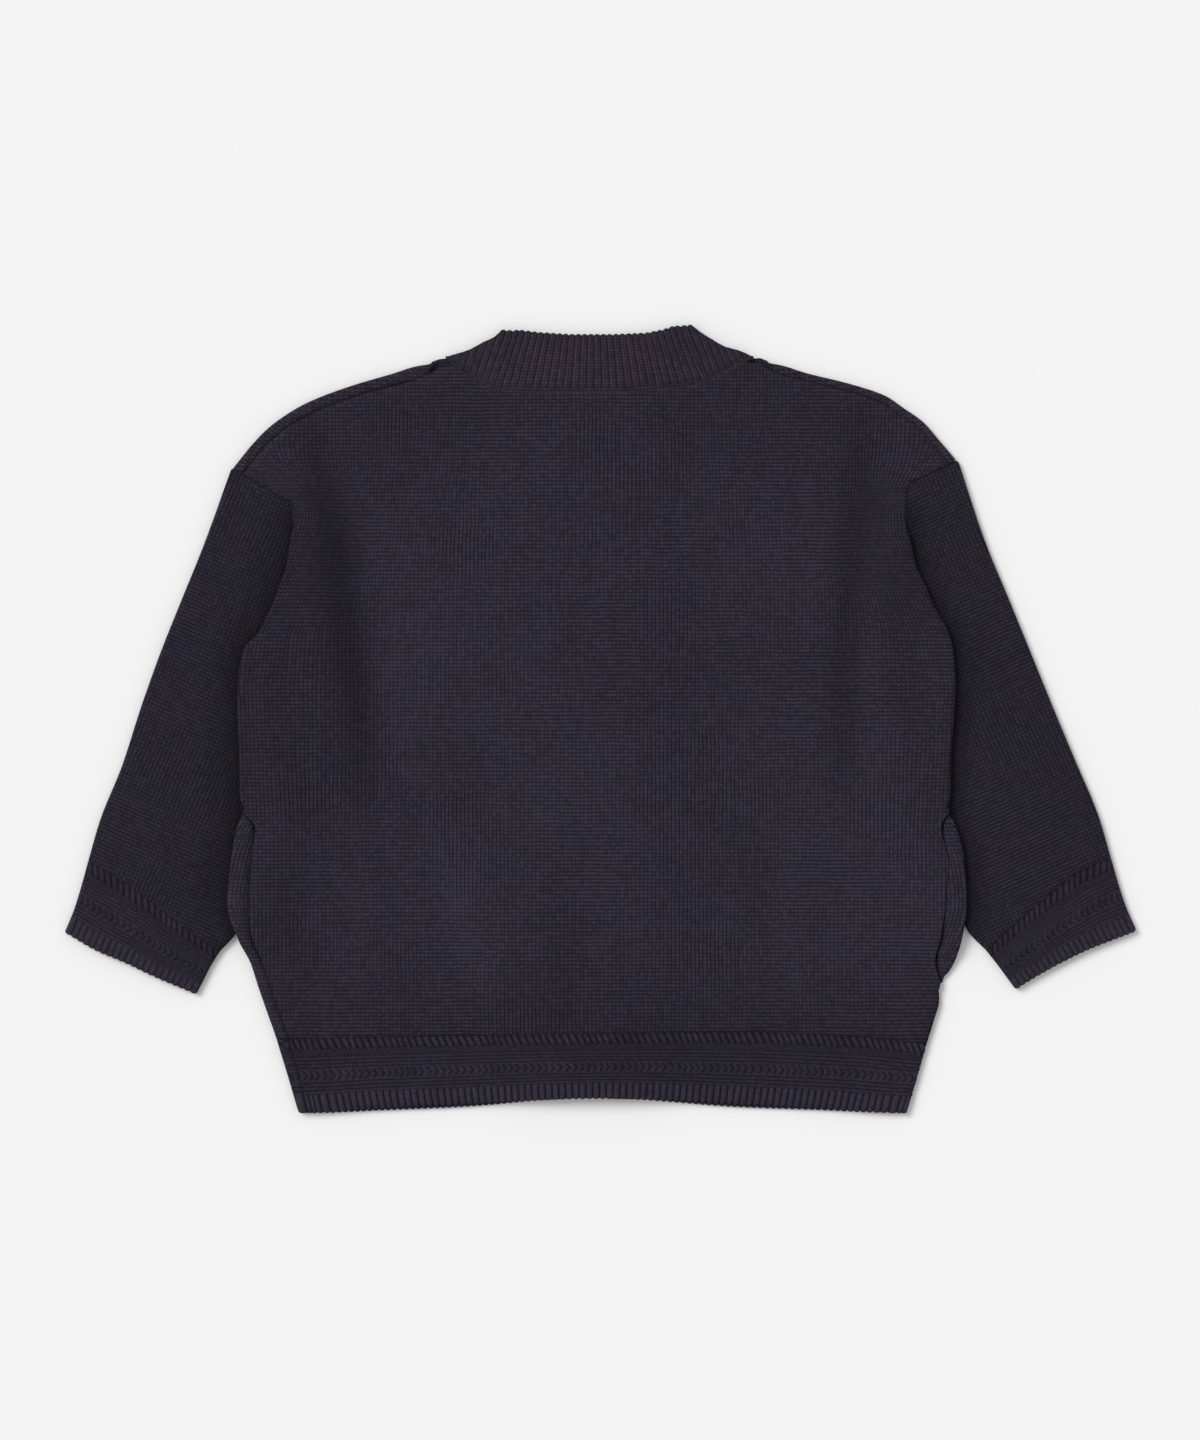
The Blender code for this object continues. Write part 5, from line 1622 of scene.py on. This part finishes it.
def lay_neckband():
    fold = [1 + k for k in spaced(0, 1, 8)[1:-1]]
    us = np.array(round_neck(40, fold, 9 * COLLAR_RIBS, spaced(0, 1, 140)))
    knots = round_neck(5, fold, 56, [0.0, 0.15, 0.3, 0.5, 0.75, 1.0])
    vs = spaced(0.0, 1.0, 26)
    points = laid_points(collar_point, knots, spaced(0, 1, 10), us, vs)
    height = (np.array(vs) * COLLAR_HIGH)[:, None] + 0 * points[..., 0]
    phase = collar_phase(us, points)
    out = way_out(points, 1.0)
    upward = unit_rows(points[-1] - points[-2])
    points[..., 1] -= drawn_in(us) * np.clip(1 - height / DRAWN_IN_HIGH, 0, 1)
    points -= scallop(phase, COLLAR_HIGH - height)[..., None] * upward[None]
    ribs = rib(phase) * np.clip((height - RIB_FOOT) / RIB_FOOT, 0, 1)
    # Painted shade in the gaps and down each rib, and less of it at the foot
    from_line = (phase - np.round(phase)) / LINE_WIDTH
    line = 1 - LINE_SHADE * np.exp(-from_line ** 2) * np.clip((height - 2) / 2, 0, 1)
    foot_light = 0.6 * np.clip(2.5 - height, 0, 1)
    light = (GAP_LIGHT + (1 - GAP_LIGHT) * np.maximum(ribs, foot_light)) * line
    return cloth_piece(
        "neckband_shell", points, out, np.stack([phase * COLLAR_WALE, height], axis=2),
        rib_knit, "neckband", light,
        relief=(COLLAR_RIB_HEIGHT * ribs - COLLAR_SINK)[..., None], rounding=(0.5, 0.5),
    )


neckband = lay_neckband()

# %% [markdown]
# ## Seams
#
# The panels are joined by chains of loops, worked in the same yarn. A seam lies in the little gap between
# two panels, and there it closes the cloth and makes the dark line that the eye follows: round the neck,
# along both shoulders and down both armholes. That line's darkness is painted shade of the groove between
# the panels: the shoulder, armhole and side seams get a darker yarn, and painted shade falls between the
# beads. Each is a thin tube with a bead for every loop.

# %% A chain of loops
SEAM_STEP = 0.45
SEAM_SIDES = 8


def seam_chain(name, line, radius, pitch, finish, shade):
    """A tube of beads along a line in millimetres, closed at both ends."""
    lengths = walked(line)
    count = int(lengths[-1] / SEAM_STEP)
    run = np.linspace(0, lengths[-1], count)
    middle = read_line(run, lengths, line)
    along = unit_rows(np.gradient(middle, axis=0))
    aside = unit_rows(np.cross(along, [0.0, 0.0, 1.0]))
    above = np.cross(aside, along)
    bead = np.abs(np.cos(math.pi * run / pitch))
    ends = np.minimum(1, np.minimum(run, lengths[-1] - run) / radius)
    width = radius * (0.75 + 0.25 * bead) * np.sqrt(ends)
    turn = np.linspace(0, 2 * math.pi, SEAM_SIDES + 1)
    ring = np.cos(turn)[None, :, None] * aside[:, None] + np.sin(turn)[None, :, None] * above[:, None]
    faces = middle[:, None] + ring * width[:, None, None]
    around = np.repeat((turn * radius)[None], count, axis=0)
    # Painted shade: darker between the beads, and by the seam's own shade
    painted_shade = np.repeat((shade * (0.35 + 0.65 * bead))[:, None], SEAM_SIDES + 1, axis=1)
    maps = np.stack([around, np.repeat(run[:, None], SEAM_SIDES + 1, axis=1), painted_shade], axis=2)
    mesh, open_edges = grid_mesh(name, faces, maps)
    print(name, round(lengths[-1]), "mm,", open_edges, "open edges")
    return new_piece(name, mesh, finish)


print("a seam has", round(1 / SEAM_STEP, 1), "rings for each millimetre")

# %% [markdown]
# ## Where the seams run
#
# Each seam follows the edge that it closes, read from the same functions as the panels. It lies a little
# above, below or beside that edge, so that it fills the gap and no more. On the real garment these are
# linked loop by loop, which is why they look like a fine chain.

# %% Where the seams run
LOOP_PITCH = 2.1
NECK_LOOP_PITCH = 1.85
SHOULDER_LIFT = 0.3
ARMHOLE_SINK = 0.5
NECK_SEAM_SPACE = 0.45
NECK_SEAM_LIFT = 0.35
SIDE_SEAM_IN = 0.5
SIDE_SEAM_LIFT = 0.4


def shoulder_seam(sign):
    """The line between what the front turns over the shoulder and the back's edge."""
    line = []
    for u in np.linspace(NECK_SHARE + TURN_FROM + 0.4 * TURN_OVER, 1.0, 26):
        end = front_point(sign, u, TIP_ROW, 1.0)
        before = front_point(sign, u, TIP_ROW, ARC_SHARE)
        line.append(end + unit(end - before) * SEAM_SPACE / 2 + [0, 0, SHOULDER_LIFT])
    return line


def armhole_seam(sign):
    """The line between the back and the sleeve, from the shoulder's tip to where the body folds over it."""
    rows = np.linspace(TIP_ROW - 0.5, 104.0, 14)
    return [[*seam_point(sign, row), SLEEVE_STACK - ARMHOLE_SINK] for row in rows]


def neck_seam():
    """All round the neck, just outside the neckband's lower edge."""
    half = [*np.linspace(1.1, 1.9, 6), *np.linspace(2, 2.97, 30)]
    line = []
    for u in [-h for h in reversed(half)] + list(np.linspace(-1, 1, 80)) + half:
        low = collar_point(u, 0.0)
        away = unit(low - collar_point(u, 0.04)) * NECK_SEAM_SPACE
        line.append(low + away + [0, -drawn_in(u), NECK_SEAM_LIFT * (abs(u) < 1.5)])
    return line


def side_seam(sign, low, high):
    """The line between the back's edge and what the front turns up over it, bowed with the hem."""
    line = []
    for row in np.linspace(low, high, 24):
        bow = hem_sweep(SEAMS[sign][0, 3]) * min(1.0, max(0.0, (HEM_TOP - row) / HEM_HEIGHT))
        line.append(front_point(sign, 2.0, row) + [-SIDE_SEAM_IN * sign, bow, SIDE_SEAM_LIFT])
    return line


# The last number is each seam's painted shade
seam_chain("neck_seam", neck_seam(), 0.8, NECK_LOOP_PITCH, rib_knit, 0.95)
seam_chain("side_seam_left", side_seam(-1, HEM_BOTTOM + 1, -62.0), 0.8, LOOP_PITCH, painted_shade_seam_knit, 0.7)
seam_chain("side_seam_right", side_seam(1, -134.0, -62.0), 0.7, LOOP_PITCH, painted_shade_seam_knit, 0.7)
for sign, side in ((-1, "left"), (1, "right")):
    seam_chain("shoulder_seam_" + side, shoulder_seam(sign), 0.7, LOOP_PITCH, painted_shade_seam_knit, 0.8)
    seam_chain("armhole_seam_" + side, armhole_seam(sign), 0.75, LOOP_PITCH, painted_shade_seam_knit, 0.8)

# %% [markdown]
# ## Button bands and buttons
#
# Nobody sees these from above, but they are there underneath. The packed solids have the right shape
# already, so they keep it and get a finish of their own: knitted bands, and satin buttons.

# %% Button bands and buttons
button_recipe = Recipe("satin_button", roughness=0.4, specular=0.35)
cloudy = button_recipe.noise(button_recipe.read("ShaderNodeTexCoord", "Object"), 260.0, 3.0)
BUTTON_DARK = (0.014, 0.013, 0.018, 1.0)
BUTTON_LIGHT = (0.024, 0.022, 0.030, 1.0)
button_recipe.feed("Base Color", button_recipe.mix(cloudy, BUTTON_DARK, BUTTON_LIGHT))
for node_name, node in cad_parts.items():
    if node_name.startswith("button_"):
        finish = bare_knit if node_name.startswith("button_band") else button_recipe.material
        node.data.materials.clear()
        node.data.materials.append(finish)
print("buttons:", sum(n.startswith("button_") and n[-1].isdigit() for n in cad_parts))

# %% [markdown]
# ## The cloth's sizes laid flat
#
# Each piece of cloth is printed with the size it was cut or knitted to, laid flat. The sleeves and cuffs
# are tubes, so their width is all the way round.

def lay_flat(piece, width, length):
    print(piece.name, "is", width, "by", length, "m when it is laid flat")


lay_flat(back_panel, 0.42, 0.40)
lay_flat(back_hem, 0.37, 0.040)
lay_flat(front_left, 0.22, 0.40)
lay_flat(front_right, 0.23, 0.40)
lay_flat(front_hem_left, 0.17, 0.040)
lay_flat(front_hem_right, 0.18, 0.040)
lay_flat(sleeve_left, 0.28, 0.24)
lay_flat(sleeve_right, 0.28, 0.24)
lay_flat(cuff_left, 0.175, 0.038)
lay_flat(cuff_right, 0.175, 0.038)
lay_flat(neckband, 0.34, 0.035)

# %% [markdown]
